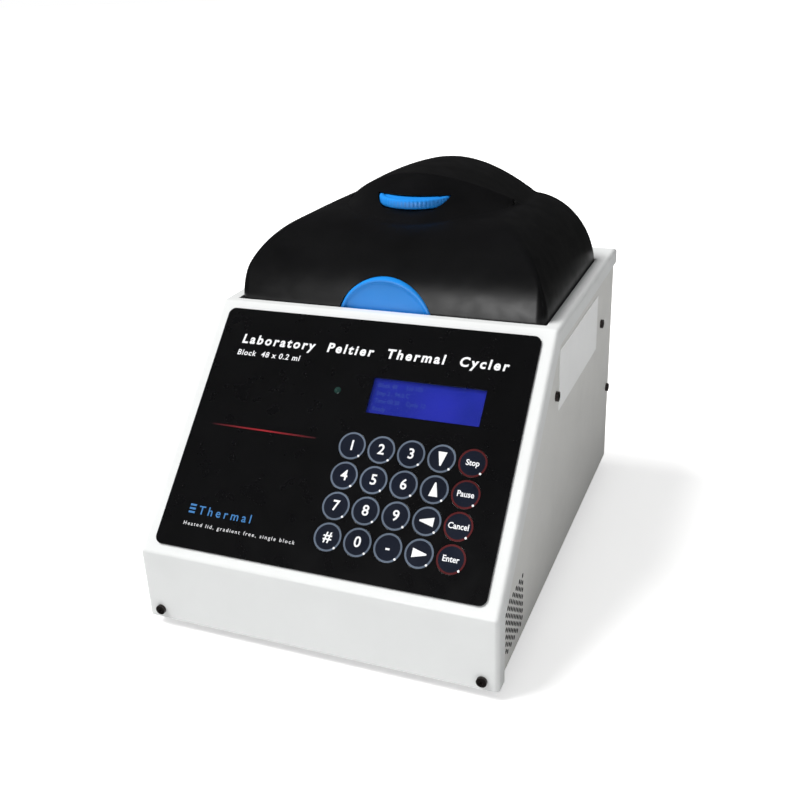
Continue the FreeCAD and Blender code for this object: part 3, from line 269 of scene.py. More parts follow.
CAD_MATERIALS = {
    WHITE_PAINT: ["front_cover"],
    GREY_PAINT: ["rear_panel"],
    SIDE_PAINT_HOLE_SHADE: ["side_panel_left", "side_panel_right"],
    OVERLAY: ["keypad_overlay"],
    LID_BLACK: ["lid_shell"],
    BLUE: ["pressure_wheel", "latch_button"],
    DARK_PLASTIC: ["block_frame", "fan_frame", "fan_rotor", "power_inlet", "lid_inner_cover"],
    RUBBER: ["feet"],
    SCREW: ["case_screws"],
    LABEL: ["label_plates"],
    ZINC: ["base_plate", "power_supply", "lid_bridge", "pressure_plate", "latch_bracket"],
    STEEL: ["strike_plate", "guide_pins", "pressure_spindle", "plate_springs", "latch_hook", "latch_pin",
            "latch_spring", "hinge_brackets", "hinge_leaves", "hinge_pins"],
    ALUMINIUM: ["sample_block", "heat_sink", "heated_plate"],
    CERAMIC: ["peltier_modules"],
    BOARD: ["control_board", "display_module"],
    ROCKER: ["power_rocker"],
    clear_pane(): ["display_window"],
}


def dress_cad_nodes():
    """Gives every CAD node its material; the keys take the overlay's."""
    chosen = {name: material for material, names in CAD_MATERIALS.items() for name in names}
    for name, item in NODES.items():
        item.data.materials.clear()
        item.data.materials.append(chosen.get(name, OVERLAY))


# ------------------------------------------------------------------ mesh helpers

def finish_mesh(name, bm, materials, body, sharp=35.0):
    """Turns a bmesh drawn in millimetres into a piece that rides a body."""
    bmesh.ops.remove_doubles(bm, verts=bm.verts, dist=1e-4)
    bmesh.ops.dissolve_degenerate(bm, edges=bm.edges, dist=1e-4)
    bmesh.ops.recalc_face_normals(bm, faces=bm.faces)
    mesh = bpy.data.meshes.new(name)
    bm.to_mesh(mesh)
    bm.free()
    mesh.transform(Matrix.Scale(MM, 4))
    item = bpy.data.objects.new(name, mesh)
    bpy.context.scene.collection.objects.link(item)
    for material in materials:
        mesh.materials.append(material)
    shade_by_angle(mesh, sharp)
    if body:
        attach(item, body)
    return item


def shade_by_angle(mesh, degrees):
    """Smooth shading, with creases sharper than an angle kept crisp."""
    bm = bmesh.new()
    bm.from_mesh(mesh)
    limit = math.radians(degrees)
    for face in bm.faces:
        face.smooth = True
    for edge in bm.edges:
        edge.smooth = len(edge.link_faces) == 2 and edge.calc_face_angle(0) < limit
    bm.to_mesh(mesh)
    bm.free()


def skin_loops(bm, loops, cap_first=True, cap_last=True, material=0):
    """Skins closed loops of points that have the same count, in order, and caps the ends."""
    rings = [[bm.verts.new(point) for point in loop] for loop in loops]
    count = len(rings[0])
    for first, second in zip(rings, rings[1:]):
        for i in range(count):
            face = bm.faces.new((first[i], first[(i + 1) % count], second[(i + 1) % count], second[i]))
            face.material_index = material
    for ring, wanted in ((rings[0][::-1], cap_first), (rings[-1], cap_last)):
        if wanted:
            bm.faces.new(ring).material_index = material
    return rings


def apply_modifiers(item):
    """Replaces the item's mesh with the result of its modifiers."""
    graph = bpy.context.evaluated_depsgraph_get()
    mesh = bpy.data.meshes.new_from_object(item.evaluated_get(graph))
    item.modifiers.clear()
    item.data = mesh


def carve(item, cutters):
    """Cuts closed meshes out of item, then removes them."""
    for cutter in cutters:
        step = item.modifiers.new("carve", "BOOLEAN")
        step.operation = "DIFFERENCE"
        step.solver = "EXACT"
        step.object = cutter
    apply_modifiers(item)
    for cutter in cutters:
        bpy.data.objects.remove(cutter)


def tool(name, loops):
    """Closed mesh used only for cutting."""
    bm = bmesh.new()
    skin_loops(bm, loops)
    return finish_mesh(name, bm, [], None)


def ring_points(radius, z, centre=(0, 0), count=96):
    return [Vector((centre[0] + radius * math.cos(a), centre[1] + radius * math.sin(a), z))
            for a in np.linspace(0, 2 * math.pi, count, endpoint=False)]


# ------------------------------------------------------------------ lid shell

LID_HALF = SHELL_HIGH.x
LID_FRONT = SHELL_LOW.y
LID_REAR = SHELL_HIGH.y
LID_LOW = SHELL_LOW.z
DOME_HEIGHT = 26.5       # height of the hump over the lid's flat top
PLATEAU = SHELL_HIGH.z - DOME_HEIGHT
SHOULDER = 50.0          # reach of the side shoulders
SHOULDER_FALL = 57.0     # height over which the shoulders fall
BROW = 56.0              # radius of the rolled front
CORNER = 7.5             # radius of the front corners, seen from above
WALL = 2.5               # thickness of the moulding
WALL_LEVELS = (0, 4, 8, 10.5)    # heights over the rim of the rows in the upright wall
REAR_ROUND = 2.5         # radius of the rear edge
REAR_ROUND_STEPS = 5
REAR_ROWS = 15
FINE_UNTIL = 84.0        # the rows stand closer together in front of here
DOME_EASE = 115.0        # the hump's section is a hyperbola: a broad crown between straight flanks
DOME_FLANK = 1.24        # slope that the flanks tend to
DOME_LENGTHEN = 0.36     # how slowly the hump falls along the lid, against across it
DOME_Y = 82.0            # where along the lid the hump is highest
DROOP = 2.2              # the top falls this much per 100 mm squared behind DROOP_FROM
DROOP_FROM = 53.5
LENS_HALF = 62.0         # the finger recess in front of the hump, seen from above
LENS_CENTRE = 75.0       # middle of the circle that the recess is part of
VISOR_FRONT = 45.0       # front of the hump's edge over the wheel
HUMP_REACH = 92.0        # the hump ends this far to either side
RAMP_DIP = 1.0           # hollow just behind the lip of the recess
CREASE = 1.6             # reach of the eased crease between the hump and the roll
WHEEL_Y = (WHEEL_LOW.y + WHEEL_HIGH.y) / 2
WHEEL_THICK = 6.5
WHEEL_BOTTOM = WHEEL_HIGH.z - WHEEL_THICK
WHEEL_RADIUS = (WHEEL_HIGH.x - WHEEL_LOW.x) / 2
WHEEL_GAP = 0.8          # room round the wheel in its slot


def side_line(across):
    """Visor edge (rear of the recess) and lip (front of the recess) as y for a given x."""
    x = np.clip(np.abs(across), 0, LENS_HALF)
    visor = VISOR_FRONT + (LENS_CENTRE - VISOR_FRONT) * (x / LENS_HALF) ** 2
    lip = LENS_CENTRE - np.sqrt(LENS_HALF ** 2 - x ** 2)
    return visor, lip


def hump(x, y):
    """Height of the hump's surface, whether or not it shows there."""
    out = x ** 2 + ((y - DOME_Y) * DOME_LENGTHEN) ** 2
    return PLATEAU + DOME_HEIGHT + DOME_EASE - np.sqrt(DOME_EASE ** 2 + DOME_FLANK ** 2 * out)


def soft_max(a, b, radius):
    """Larger of two heights, with the crease between them eased over radius."""
    h = np.clip(0.5 + 0.5 * (a - b) / radius, 0, 1)
    return b * (1 - h) + a * h + radius * h * (1 - h) * 0.5


def droop(y):
    """How far the top has fallen at y."""
    return DROOP * (np.maximum(y - DROOP_FROM, 0) / 100) ** 2


def rolled(x, y):
    """Height of the lid without its hump: the lower of the rolled front and the shoulders."""
    side = np.clip(np.abs(x) - (LID_HALF - SHOULDER), 0, SHOULDER)
    front = np.clip(LID_FRONT + BROW - y, 0, BROW)
    by_side = PLATEAU - SHOULDER_FALL * (1 - np.sqrt(1 - (side / SHOULDER) ** 2))
    by_front = PLATEAU - BROW + np.sqrt(BROW ** 2 - front ** 2)
    return np.minimum(by_side, by_front)


def lid_feature(x, y):
    """What the hump and the recess add to, or take from, the rolled form."""
    base = rolled(x, y)
    top = hump(x, y)
    visor, lip = side_line(x)
    with_hump = np.where(np.abs(x) < HUMP_REACH, soft_max(top, base, CREASE) - base, 0.0)
    along = np.clip((y - lip) / np.maximum(visor - lip, 1e-6), 0, 1)
    lip_z = rolled(x, lip)
    crest_z = soft_max(hump(x, visor), rolled(x, visor), CREASE)
    fullness = np.sqrt(np.clip(1 - (x / LENS_HALF) ** 2, 0, 1))
    dip = RAMP_DIP * fullness * np.sin(math.pi * along) ** 2
    in_lens = lip_z + (crest_z - lip_z) * along - dip - base
    feature = np.where(y >= visor, with_hump, in_lens)
    feature = np.where(y <= lip, 0.0, feature)
    outside = np.abs(x) >= LENS_HALF
    return np.where(outside, np.where(y > LENS_CENTRE, with_hump, 0.0), feature)


def lid_surface(inset, fine, arc_step):
    """Grid of points over the lid, inset millimetres inside its outer face, from rim to rim."""
    half = LID_HALF - inset
    front = LID_FRONT + inset
    rear = LID_REAR - inset
    top = PLATEAU - inset
    shoulder = SHOULDER - inset
    fall = SHOULDER_FALL - inset
    brow = BROW - inset
    wall = np.array(WALL_LEVELS) + LID_LOW
    turn = np.radians(np.arange(arc_step, 90, arc_step))
    levels = np.concatenate([wall[wall < top - fall - 1], top - fall + fall * np.sin(turn)])
    levels = np.unique(np.round(np.append(levels, top - fall), 6))
    rise_x = np.clip((levels - (top - fall)) * shoulder / fall, 0, shoulder)
    rise_y = np.clip(levels - (top - brow), 0, brow)
    edge_x = half - shoulder + np.sqrt(shoulder ** 2 - rise_x ** 2)
    edge_y = front + brow - np.sqrt(brow ** 2 - rise_y ** 2)
    flat_x = half - shoulder
    middle = np.linspace(-flat_x, flat_x, int(2 * flat_x / fine) + 1)
    xs = np.concatenate([-edge_x, middle, edge_x[::-1]])
    x_cap = np.concatenate([levels, np.full(len(middle), top), levels[::-1]])
    start = front + brow
    near = np.arange(start, FINE_UNTIL, fine)
    stop = rear - REAR_ROUND
    far = np.linspace(FINE_UNTIL, stop, int((stop - FINE_UNTIL) / (1.8 * fine)) + 1)
    ys = np.concatenate([edge_y, near, far])
    y_cap = np.concatenate([levels, np.full(len(near) + len(far), top)])
    x, y = np.meshgrid(xs, ys, indexing="ij")
    z = np.minimum(x_cap[:, None], y_cap[None, :])
    lift = np.clip((z - (PLATEAU - SHOULDER_FALL)) / SHOULDER_FALL, 0, 1)
    z = z + lid_feature(x, y) - droop(y) * lift
    count = len(levels)
    x, y, z = ease_corner(x, y, z, count)
    x, y = round_plan(x, y, half, front, CORNER - inset)
    return close_rear(x, y, z, rear), count


def round_plan(x, y, half, front, radius):
    """Pulls the front corners in to a radius seen from above, moving points along both axes alike."""
    over_x = np.clip(np.abs(x) - (half - radius), 0, radius) / radius
    over_y = np.clip(front + radius - y, 0, radius) / radius
    reach = np.sqrt(over_x ** 2 + over_y ** 2)
    square = np.maximum(over_x, over_y)
    shrink = np.where(reach > 0, square / np.maximum(reach, 1e-9), 1)
    corner = (over_x > 0) & (over_y > 0)
    pull = np.where(corner, 1 - shrink, 0) * radius
    return x - np.sign(x) * pull * over_x, y + pull * over_y


EASE_ROUNDS = 5          # how often the ridge is averaged
EASE_WIDTH = 2           # cells to either side of the ridge that take part
EASE_FROM = 5            # rows over the rim that stay sharp


def ease_corner(x, y, z, count):
    """Rounds the ridge where the rolled front meets each shoulder."""
    grids = [x, y, z]
    index = np.arange(count)
    for _ in range(EASE_ROUNDS):
        for grid in grids:
            for rows in (index, grid.shape[0] - 1 - index):
                patch = grid[rows][:, :count]
                eased = patch.copy()
                inner = (patch[:-2, 1:-1] + patch[2:, 1:-1] + patch[1:-1, :-2] + patch[1:-1, 2:]) / 4
                gap = np.abs(index[1:-1, None] - index[None, 1:-1])
                high = (index[1:-1, None] > EASE_FROM) & (index[None, 1:-1] > EASE_FROM)
                mask = (gap <= EASE_WIDTH) & high
                eased[1:-1, 1:-1] = np.where(mask, inner, patch[1:-1, 1:-1])
                for place, row in enumerate(rows):
                    grid[row, :count] = eased[place]
    return grids


def close_rear(x, y, z, rear):
    """Adds the rounded rear edge and the flat back down to the rim."""
    xs = [x]
    ys = [y]
    zs = [z]
    last_x = x[:, -1:]
    last_z = z[:, -1:]
    for turn in np.linspace(0, math.pi / 2, REAR_ROUND_STEPS + 1)[1:]:
        xs.append(last_x)
        ys.append(np.full_like(last_x, rear - REAR_ROUND + REAR_ROUND * math.sin(turn)))
        zs.append(np.maximum(last_z - REAR_ROUND * (1 - math.cos(turn)), LID_LOW))
    foot = zs[-1]
    for share in np.linspace(0, 1, REAR_ROWS)[1:]:
        xs.append(last_x)
        ys.append(np.full_like(last_x, rear))
        zs.append(foot * (1 - share) + LID_LOW * share)
    return np.concatenate(xs, 1), np.concatenate(ys, 1), np.concatenate(zs, 1)


def add_grid(bm, grids, count):
    """Faces over a grid of points; cells on the front corners are split along their ridge."""
    x, y, z = grids
    rows, columns = x.shape
    verts = [[bm.verts.new((x[i, j], y[i, j], z[i, j])) for j in range(columns)] for i in range(rows)]
    for i in range(rows - 1):
        near_side = i < count or i >= rows - 1 - count
        for j in range(columns - 1):
            a, b, c, d = verts[i][j], verts[i + 1][j], verts[i + 1][j + 1], verts[i][j + 1]
            if near_side and j < count:
                if a.co.z + c.co.z >= b.co.z + d.co.z:
                    bm.faces.new((a, b, c))
                    bm.faces.new((a, c, d))
                else:
                    bm.faces.new((a, b, d))
                    bm.faces.new((b, c, d))
            else:
                bm.faces.new((a, b, c, d))


def rim_edges(bm):
    return [edge for edge in bm.edges if edge.is_boundary]


SPINDLE_HOLE = 9.5       # radius of the hole for the wheel's spindle, and where it starts
SPINDLE_HOLE_LOW = 228
BUTTON_GAP = 0.4         # room round the button, and the depths between which it is cut
BUTTON_CUT_SPAN = (-30, -8)
HOOK_NOTCH = (-6.5, 6.5, -26, -18)    # notch in the rim for the hook: left, right, front, rear
HOOK_NOTCH_SPAN = (170, 182)
OUTER_GRID = (0, 0.9, 1.5)    # inset, cell size and degrees per row of the lid's outer skin
INNER_GRID = (WALL, 2.2, 4.0)


def lid_shell():
    """Moulded lid: outer and inner skins joined at the rim, then cut for wheel, button and hook."""
    bm = bmesh.new()
    for inset, fine, step in (OUTER_GRID, INNER_GRID):
        part = bmesh.new()
        grids, count = lid_surface(inset, fine, step)
        add_grid(part, grids, count)
        bmesh.ops.remove_doubles(part, verts=part.verts, dist=1e-3)
        bmesh.ops.dissolve_degenerate(part, edges=part.edges, dist=1e-3)
        mesh = bpy.data.meshes.new("skin")
        part.to_mesh(mesh)
        part.free()
        bm.from_mesh(mesh)
        bpy.data.meshes.remove(mesh)
    bmesh.ops.bridge_loops(bm, edges=rim_edges(bm))
    shell = finish_mesh("lid_shell_moulding", bm, [LID_BLACK], None)
    slot = [ring_points(WHEEL_RADIUS + WHEEL_GAP, z, (0, WHEEL_Y))
            for z in (WHEEL_BOTTOM - WHEEL_GAP, WHEEL_HIGH.z + WHEEL_GAP)]
    spindle = [ring_points(SPINDLE_HOLE, z, (0, WHEEL_Y), 48) for z in (SPINDLE_HOLE_LOW, WHEEL_BOTTOM)]
    button = half_round_loops([(-BUTTON_GAP, y) for y in BUTTON_CUT_SPAN])
    left, right, front, rear = HOOK_NOTCH
    hook = [[Vector((x, y, z)) for x, y in ((left, front), (right, front), (right, rear), (left, rear))]
            for z in HOOK_NOTCH_SPAN]
    cutters = [tool("cut_wheel", slot), tool("cut_spindle", spindle), tool("cut_button", button),
               tool("cut_hook", hook)]
    carve(shell, cutters)
    shade_by_angle(shell.data, 32)
    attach(shell, "lid")
    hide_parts("lid_shell")


# ------------------------------------------------------------------ button and wheel

BUTTON_FLANGE = 1.2      # the flange behind the face is this much wider
BUTTON_CENTRE = 173.5    # height of the round outline's centre
BUTTON_RADIUS = BUTTON_HIGH.z - BUTTON_FLANGE - BUTTON_CENTRE
BUTTON_FLOOR = BUTTON_LOW.z
BUTTON_FACE = BUTTON_LOW.y
BUTTON_BACK = (-14, -12)    # front and back of the flange
STEM_RADIUS = 2
STEM_HEIGHT = 194
# Section of the face from its edge inwards: how far in from the outline, how deep behind the face.
BUTTON_SECTION = ((0, 1.3), (0.25, 0.6), (0.8, 0.15), (1.5, 0), (2.3, 0), (2.7, 0.25), (3.1, 0.7),
                  (5, 0.9), (9, 1.1), (14, 1.2))


def half_round_loops(stations, steps=72):
    """Loops of the button's outline: each station is (inset, y); the foot is a straight chord."""
    loops = []
    for inset, y in stations:
        radius = BUTTON_RADIUS - inset
        foot = BUTTON_FLOOR + inset
        start = math.asin((foot - BUTTON_CENTRE) / radius)
        points = [Vector((radius * math.cos(a), y, BUTTON_CENTRE + radius * math.sin(a)))
                  for a in np.linspace(start, math.pi - start, steps)]
        width = points[0].x
        points += [Vector((x, y, foot)) for x in np.linspace(-width, width, 13)[1:-1]]
        loops.append(points)
    return loops


def latch_button():
    """Half-round push button with a chamfered edge, a raised rim and a dished face."""
    flange_front, flange_back = BUTTON_BACK
    stations = [(-BUTTON_FLANGE, flange_back), (-BUTTON_FLANGE, flange_front), (0, flange_front)]
    stations += [(inset, BUTTON_FACE + depth) for inset, depth in BUTTON_SECTION]
    bm = bmesh.new()
    skin_loops(bm, half_round_loops(stations))
    around = np.linspace(0, 2 * math.pi, 24, False)
    stem = [[Vector((STEM_RADIUS * math.cos(a), y, STEM_HEIGHT + STEM_RADIUS * math.sin(a))) for a in around]
            for y in (flange_back - 0.2, BUTTON_HIGH.y)]
    skin_loops(bm, stem)
    button = finish_mesh("latch_button_cap", bm, [BLUE], "latch_button", sharp=50)
    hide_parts("latch_button")


WHEEL_RIBS = 60
RIB_DEPTH = 0.28
RIB_STEPS = 8            # points along one rib
BORE = 4.6
HUB = 8
# Half of the rim's section from its flat side outwards: in from the rim, in from the flat, rib share.
RIM_SECTION = ((3, 0, 0), (1.4, 0, 0.2), (0.5, 0.5, 0.7), (0, 1.4, 1))
# The top from the rim inwards: radius, and how deep under the top face.
TOP_RING = ((3.6, 0.5), (4.6, 0.5), (5.2, 0.1))
TOP_DISH = ((14, 0.35), (6, 0.5), (BORE, 0.5))


def pressure_wheel():
    """Thumbwheel: finely ribbed rim with rounded edges, a shallow ring round a dished top."""
    top = WHEEL_HIGH.z
    hub_low = WHEEL_LOW.z
    steps = WHEEL_RIBS * RIB_STEPS
    stations = [(BORE, hub_low, 0), (HUB, hub_low, 0), (HUB, WHEEL_BOTTOM, 0)]
    stations += [(WHEEL_RADIUS - reach, WHEEL_BOTTOM + rise, share) for reach, rise, share in RIM_SECTION]
    stations += [(WHEEL_RADIUS - reach, top - rise, share) for reach, rise, share in RIM_SECTION[::-1]]
    stations += [(WHEEL_RADIUS - reach, top - depth, 0) for reach, depth in TOP_RING]
    stations += [(reach, top - depth, 0) for reach, depth in TOP_DISH]
    bm = bmesh.new()
    loops = []
    for reach, z, depth in stations:
        loop = []
        for k in range(steps):
            angle = 2 * math.pi * k / steps
            notch = RIB_DEPTH * depth * (0.5 - 0.5 * math.cos(WHEEL_RIBS * angle)) ** 2
            out = reach - notch
            loop.append(Vector((out * math.cos(angle), WHEEL_Y + out * math.sin(angle), z)))
        loops.append(loop)
    rings = skin_loops(bm, loops, cap_first=False, cap_last=False)
    count = len(rings[0])
    for i in range(count):
        bm.faces.new((rings[-1][i], rings[-1][(i + 1) % count], rings[0][(i + 1) % count], rings[0][i]))
    wheel = finish_mesh("pressure_wheel_knob", bm, [BLUE], "pressure_wheel", sharp=40)
    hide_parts("pressure_wheel")


# ------------------------------------------------------------------ slope: keys, print, display

SLOPE_ANGLE = math.radians(45)
OVERLAY_TOP = 1.2        # face of the overlay above the painted slope
BEND_Z = 57.0            # where the slope leaves the vertical front
KEY_PITCH = 20.0
KEY_LEFT = 5.9           # middle of the first key, across and up the slope
KEY_BOTTOM = 30.0
KEY_RADIUS = 9.3
RING_IN = 7.9            # inner radius of the printed ring
RING_OUT = KEY_RADIUS - 0.2
DOT = (5.9, -6.1)        # painted highlight: white glint at the same place on each key, from its middle, and its radius
DOT_RADIUS = 0.75
WORD_SIZE = 5.2          # height of the words and of the digits on the keys
DIGIT_SIZE = 9.4
INK = 0.05               # thickness of print
INK_BASE = OVERLAY_TOP + 0.01

KEYS = (
    (("hash", "#"), ("zero", "0"), ("dash", "-"), ("right", None), ("enter", "Enter")),
    (("seven", "7"), ("eight", "8"), ("nine", "9"), ("left", None), ("cancel", "Cancel")),
    (("four", "4"), ("five", "5"), ("six", "6"), ("up", None), ("pause", "Pause")),
    (("one", "1"), ("two", "2"), ("three", "3"), ("down", None), ("stop", "Stop")),
)
ARROW_TURN = {"right": 0, "up": 90, "left": 180, "down": 270}
ARROW_OUTLINE = ((-4.4, -2.9), (4.6, -0.45), (4.6, 0.45), (-4.4, 2.9))    # along and across


def on_slope(x, up, out=0.0):
    """Point x across and up the slope from the bend, out from the painted face."""
    c = math.cos(SLOPE_ANGLE)
    s = math.sin(SLOPE_ANGLE)
    return Vector((x, FRONT + up * c - out * s, BEND_Z + up * s + out * c))


def slope_loops(outline, low, high):
    """Two loops of an outline drawn on the slope, at two heights above it."""
    return [[on_slope(x, up, out) for x, up in outline] for out in (low, high)]


def circle_points(centre, radius, steps):
    return [(centre[0] + radius * math.cos(a), centre[1] + radius * math.sin(a))
            for a in np.linspace(0, 2 * math.pi, steps, False)]


def annulus(bm, centre, inner, outer, low, high, material, steps=64):
    """Flat ring printed on the slope."""
    profile = ((inner, low), (outer, low), (outer, high), (inner, high))
    rings = []
    for radius, out in profile:
        rings.append([bm.verts.new(on_slope(x, up, out)) for x, up in circle_points(centre, radius, steps)])
    for first, second in zip(rings, rings[1:] + rings[:1]):
        for i in range(steps):
            face = bm.faces.new((first[i], first[(i + 1) % steps], second[(i + 1) % steps], second[i]))
            face.material_index = material


def disc(bm, centre, radius, low, high, material, steps=48):
    """Flat disc printed on the slope."""
    skin_loops(bm, slope_loops(circle_points(centre, radius, steps), low, high), material=material)


def text_mesh(text, size, bold=0.0, spacing=1.0, squeeze=1.0):
    """Solid lettering in millimetres, centred on the origin, in a plane that faces +Z."""
    curve = bpy.data.curves.new("lettering", "FONT")
    curve.body = text
    curve.size = size
    curve.offset = bold
    curve.space_character = spacing
    curve.align_x = "CENTER"
    curve.align_y = "CENTER"
    curve.extrude = INK / 2
    curve.resolution_u = 3
    item = bpy.data.objects.new("lettering", curve)
    bpy.context.scene.collection.objects.link(item)
    graph = bpy.context.evaluated_depsgraph_get()
    mesh = bpy.data.meshes.new_from_object(item.evaluated_get(graph))
    bpy.data.objects.remove(item)
    bpy.data.curves.remove(curve)
    mesh.transform(Matrix.Diagonal((squeeze, 1, 1, 1)))
    return mesh


def lettering_span(mesh):
    return min(v.co.x for v in mesh.vertices), max(v.co.x for v in mesh.vertices)


def add_lettering(bm, text, x, up, out, size, material, bold=0.0, squeeze=1.0, left=False, slant=0.0,
                  width=None):
    """Lettering on the slope, centred at x, or starting there if left; spaced out to a width if given."""
    mesh = text_mesh(text, size, bold, 1.0, squeeze)
    natural = lettering_span(mesh)
    if width is not None:
        gaps = max(len(text) - 1, 1)
        advance = natural[1] - natural[0]
        bpy.data.meshes.remove(mesh)
        mesh = text_mesh(text, size, bold, 1.0 + (width - advance) / advance * (1 + 1 / gaps), squeeze)
        natural = lettering_span(mesh)
    middle = (natural[0] + natural[1]) / 2
    shift = x - middle + ((natural[1] - natural[0]) / 2 if left else 0)
    for vert in mesh.vertices:
        vert.co = on_slope(vert.co.x + slant * vert.co.y + shift, vert.co.y + up, vert.co.z + out)
    start = len(bm.faces)
    bm.from_mesh(mesh)
    bm.faces.ensure_lookup_table()
    for face in bm.faces[start:]:
        face.material_index = material
    bpy.data.meshes.remove(mesh)


def arrow(bm, centre, turn, low, high, material):
    """Long narrow triangle that points along turn."""
    angle = math.radians(turn)
    outline = []
    for along, across in ARROW_OUTLINE:
        outline.append((centre[0] + along * math.cos(angle) - across * math.sin(angle),
                        centre[1] + along * math.sin(angle) + across * math.cos(angle)))
    skin_loops(bm, slope_loops(outline, low, high), material=material)


def key_print_and_glint():
    """Ring, ground and legend printed on each key, and a painted highlight dot on each, all riding their
    key.
    """
    for row, names in enumerate(KEYS):
        for column, (name, legend) in enumerate(names):
            centre = (KEY_LEFT + column * KEY_PITCH, KEY_BOTTOM + row * KEY_PITCH)
            command = column == 4
            ring = INK_RED if command else INK_GREY
            bm = bmesh.new()
            base = INK_BASE
            dot = (centre[0] + DOT[0], centre[1] + DOT[1])
            annulus(bm, centre, RING_IN, RING_OUT, base, base + INK, 0)
            disc(bm, centre, RING_IN - 0.02, base, base + 0.4 * INK, 1)
            # painted highlight: the same small white glint on every key
            disc(bm, dot, DOT_RADIUS, base + INK, base + 1.5 * INK, 2, 16)
            if legend is None:
                arrow(bm, centre, ARROW_TURN[name], base + 0.5 * INK, base + INK, 2)
            elif command:
                add_lettering(bm, legend, *centre, base + INK, WORD_SIZE, 2, bold=0.10, squeeze=0.92)
            else:
                add_lettering(bm, legend, *centre, base + INK, DIGIT_SIZE, 2, bold=0.16)
            finish_mesh(f"key_print_and_glint_{name}", bm, [ring, INK_NAVY, WHITE_INK_AND_GLINT], f"key_{name}")


# White lines of print: text, left end and height on the slope, letter size, boldness, width, slant.
LINES = (
    ("Laboratory  Peltier  Thermal  Cycler", -94.2, 154.9, 9.2, 0.30, 180.5, 0.10),
    ("Block  48 x 0.2 ml", -95.2, 144.8, 5.6, 0.10, 46, 0.10),
    ("Heated lid, gradient free, single block", -95, 22.6, 3.5, 0.0, 74, 0.0),
)
BAR_X = (-94, -89.5)     # three blue bars beside the blue word
BAR_LOW = 29.6
BAR_PITCH = 2.4
BAR_HEIGHT = 1.3
RED_LINE_X = (-97, -20)
RED_LINE_UP = (91, 92.1)
LAMP_PLACE = (-14.4, 125.9)
LAMP_SECTION = ((2.3, 0), (2.3, 0.1), (1.9, 0.32), (1.1, 0.48))    # radius and height of the dome


def printed_bar(bm, across, up):
    """Flat rectangle of print between two places across and two up the slope."""
    outline = [(across[0], up[0]), (across[1], up[0]), (across[1], up[1]), (across[0], up[1])]
    skin_loops(bm, slope_loops(outline, INK_BASE, INK_BASE + INK))


def overlay_print():
    """White lines, blue word with its bars, fading red line and the status lamp on the overlay."""
    out = INK_BASE + INK
    bm = bmesh.new()
    for text, x, up, size, bold, width, slant in LINES:
        add_lettering(bm, text, x, up, out, size, 0, bold=bold, width=width, left=True, slant=slant)
    finish_mesh("overlay_lettering", bm, [WHITE_INK_AND_GLINT], "case")
    bm = bmesh.new()
    for number in range(3):
        low = BAR_LOW + number * BAR_PITCH
        printed_bar(bm, BAR_X, (low, low + BAR_HEIGHT))
    add_lettering(bm, "Thermal", -87, 32.0, out, 8.0, 0, bold=0.08, width=38, left=True)
    finish_mesh("overlay_blue_print", bm, [INK_BLUE], "case")
    bm = bmesh.new()
    printed_bar(bm, RED_LINE_X, RED_LINE_UP)
    finish_mesh("overlay_line", bm, [fading_line(*RED_LINE_X)], "case")
    bm = bmesh.new()
    loops = [[on_slope(x, up, INK_BASE + rise) for x, up in circle_points(LAMP_PLACE, reach, 32)]
             for reach, rise in LAMP_SECTION]
    skin_loops(bm, loops)
    finish_mesh("status_lamp", bm, [LAMP], "case")


WINDOW_UP = (113.5, 137.9)    # foot and head of the window, up the slope
GLOW_SPAN = (-1.6, -1.2)      # back and front of the lit glass, under the painted face
GLOW_OVER = 0.4               # the glass runs this far past the window above and below
GLOW_SIDE = 0.5
GLOW_CORNER = 0.6
ROWS = ("Block 48      Lid 105", "Step 2   94.0 C", "Time 00:30    Cycle 12", "Ready")
ROW_PITCH = 5.4
ROW_SIZE = 4.0


def display_face():
    """Lit glass of the display with its rows of characters, just behind the window."""
    low, high = node_box("display_window")
    left, right = low.x, high.x
    bottom, top = WINDOW_UP
    over = GLOW_OVER
    outline = [(left + GLOW_CORNER, bottom - over), (right - GLOW_CORNER, bottom - over),
               (right + GLOW_SIDE, bottom + over), (right + GLOW_SIDE, top - over),
               (right - GLOW_CORNER, top + over), (left + GLOW_CORNER, top + over),
               (left - GLOW_SIDE, top - over), (left - GLOW_SIDE, bottom + over)]
    bm = bmesh.new()
    skin_loops(bm, slope_loops(outline, *GLOW_SPAN))
    finish_mesh("display_glow", bm, [backlight()], "case")
    bm = bmesh.new()
    for number, row in enumerate(ROWS):
        add_lettering(bm, row, left + 3, top - 4.2 - number * ROW_PITCH, GLOW_SPAN[1] + 0.03, ROW_SIZE, 0,
                      left=True, squeeze=0.95)
    finish_mesh("display_characters", bm, [CELL], "case")


# ------------------------------------------------------------------ stage

TARGET = Vector((1.3, 0, 117))    # point that the camera looks at
AZIMUTH = math.radians(22.69)
ELEVATION = math.radians(23.29)
ROLL = math.radians(-2.29)
DISTANCE = 709.07
SHIFT = (1.68, 4.44)     # the camera stands this far to the left and down, without turning
LENS = 44.34
ROOM_LIGHT = 0.36        # strength of the surroundings for diffuse light
ROOM_MIRRORED = 0.04     # strength of the surroundings in reflections
FLOOR_GLOW = 0.52        # how much the floor shines to the camera
FLOOR_REACH = 20000
KEY_LIGHT = (-0.52, -0.22, 0.83)    # where the main light comes from
KEY_POWER = 3.5
SHEEN_PLACE = (-80, -800, 220)      # panel in front that gives the lid's front its sheen
SHEEN_SIZE = (260, 400)
SHEEN_POWER = 2.3
SHEEN_AIM = (80, -23, 195)


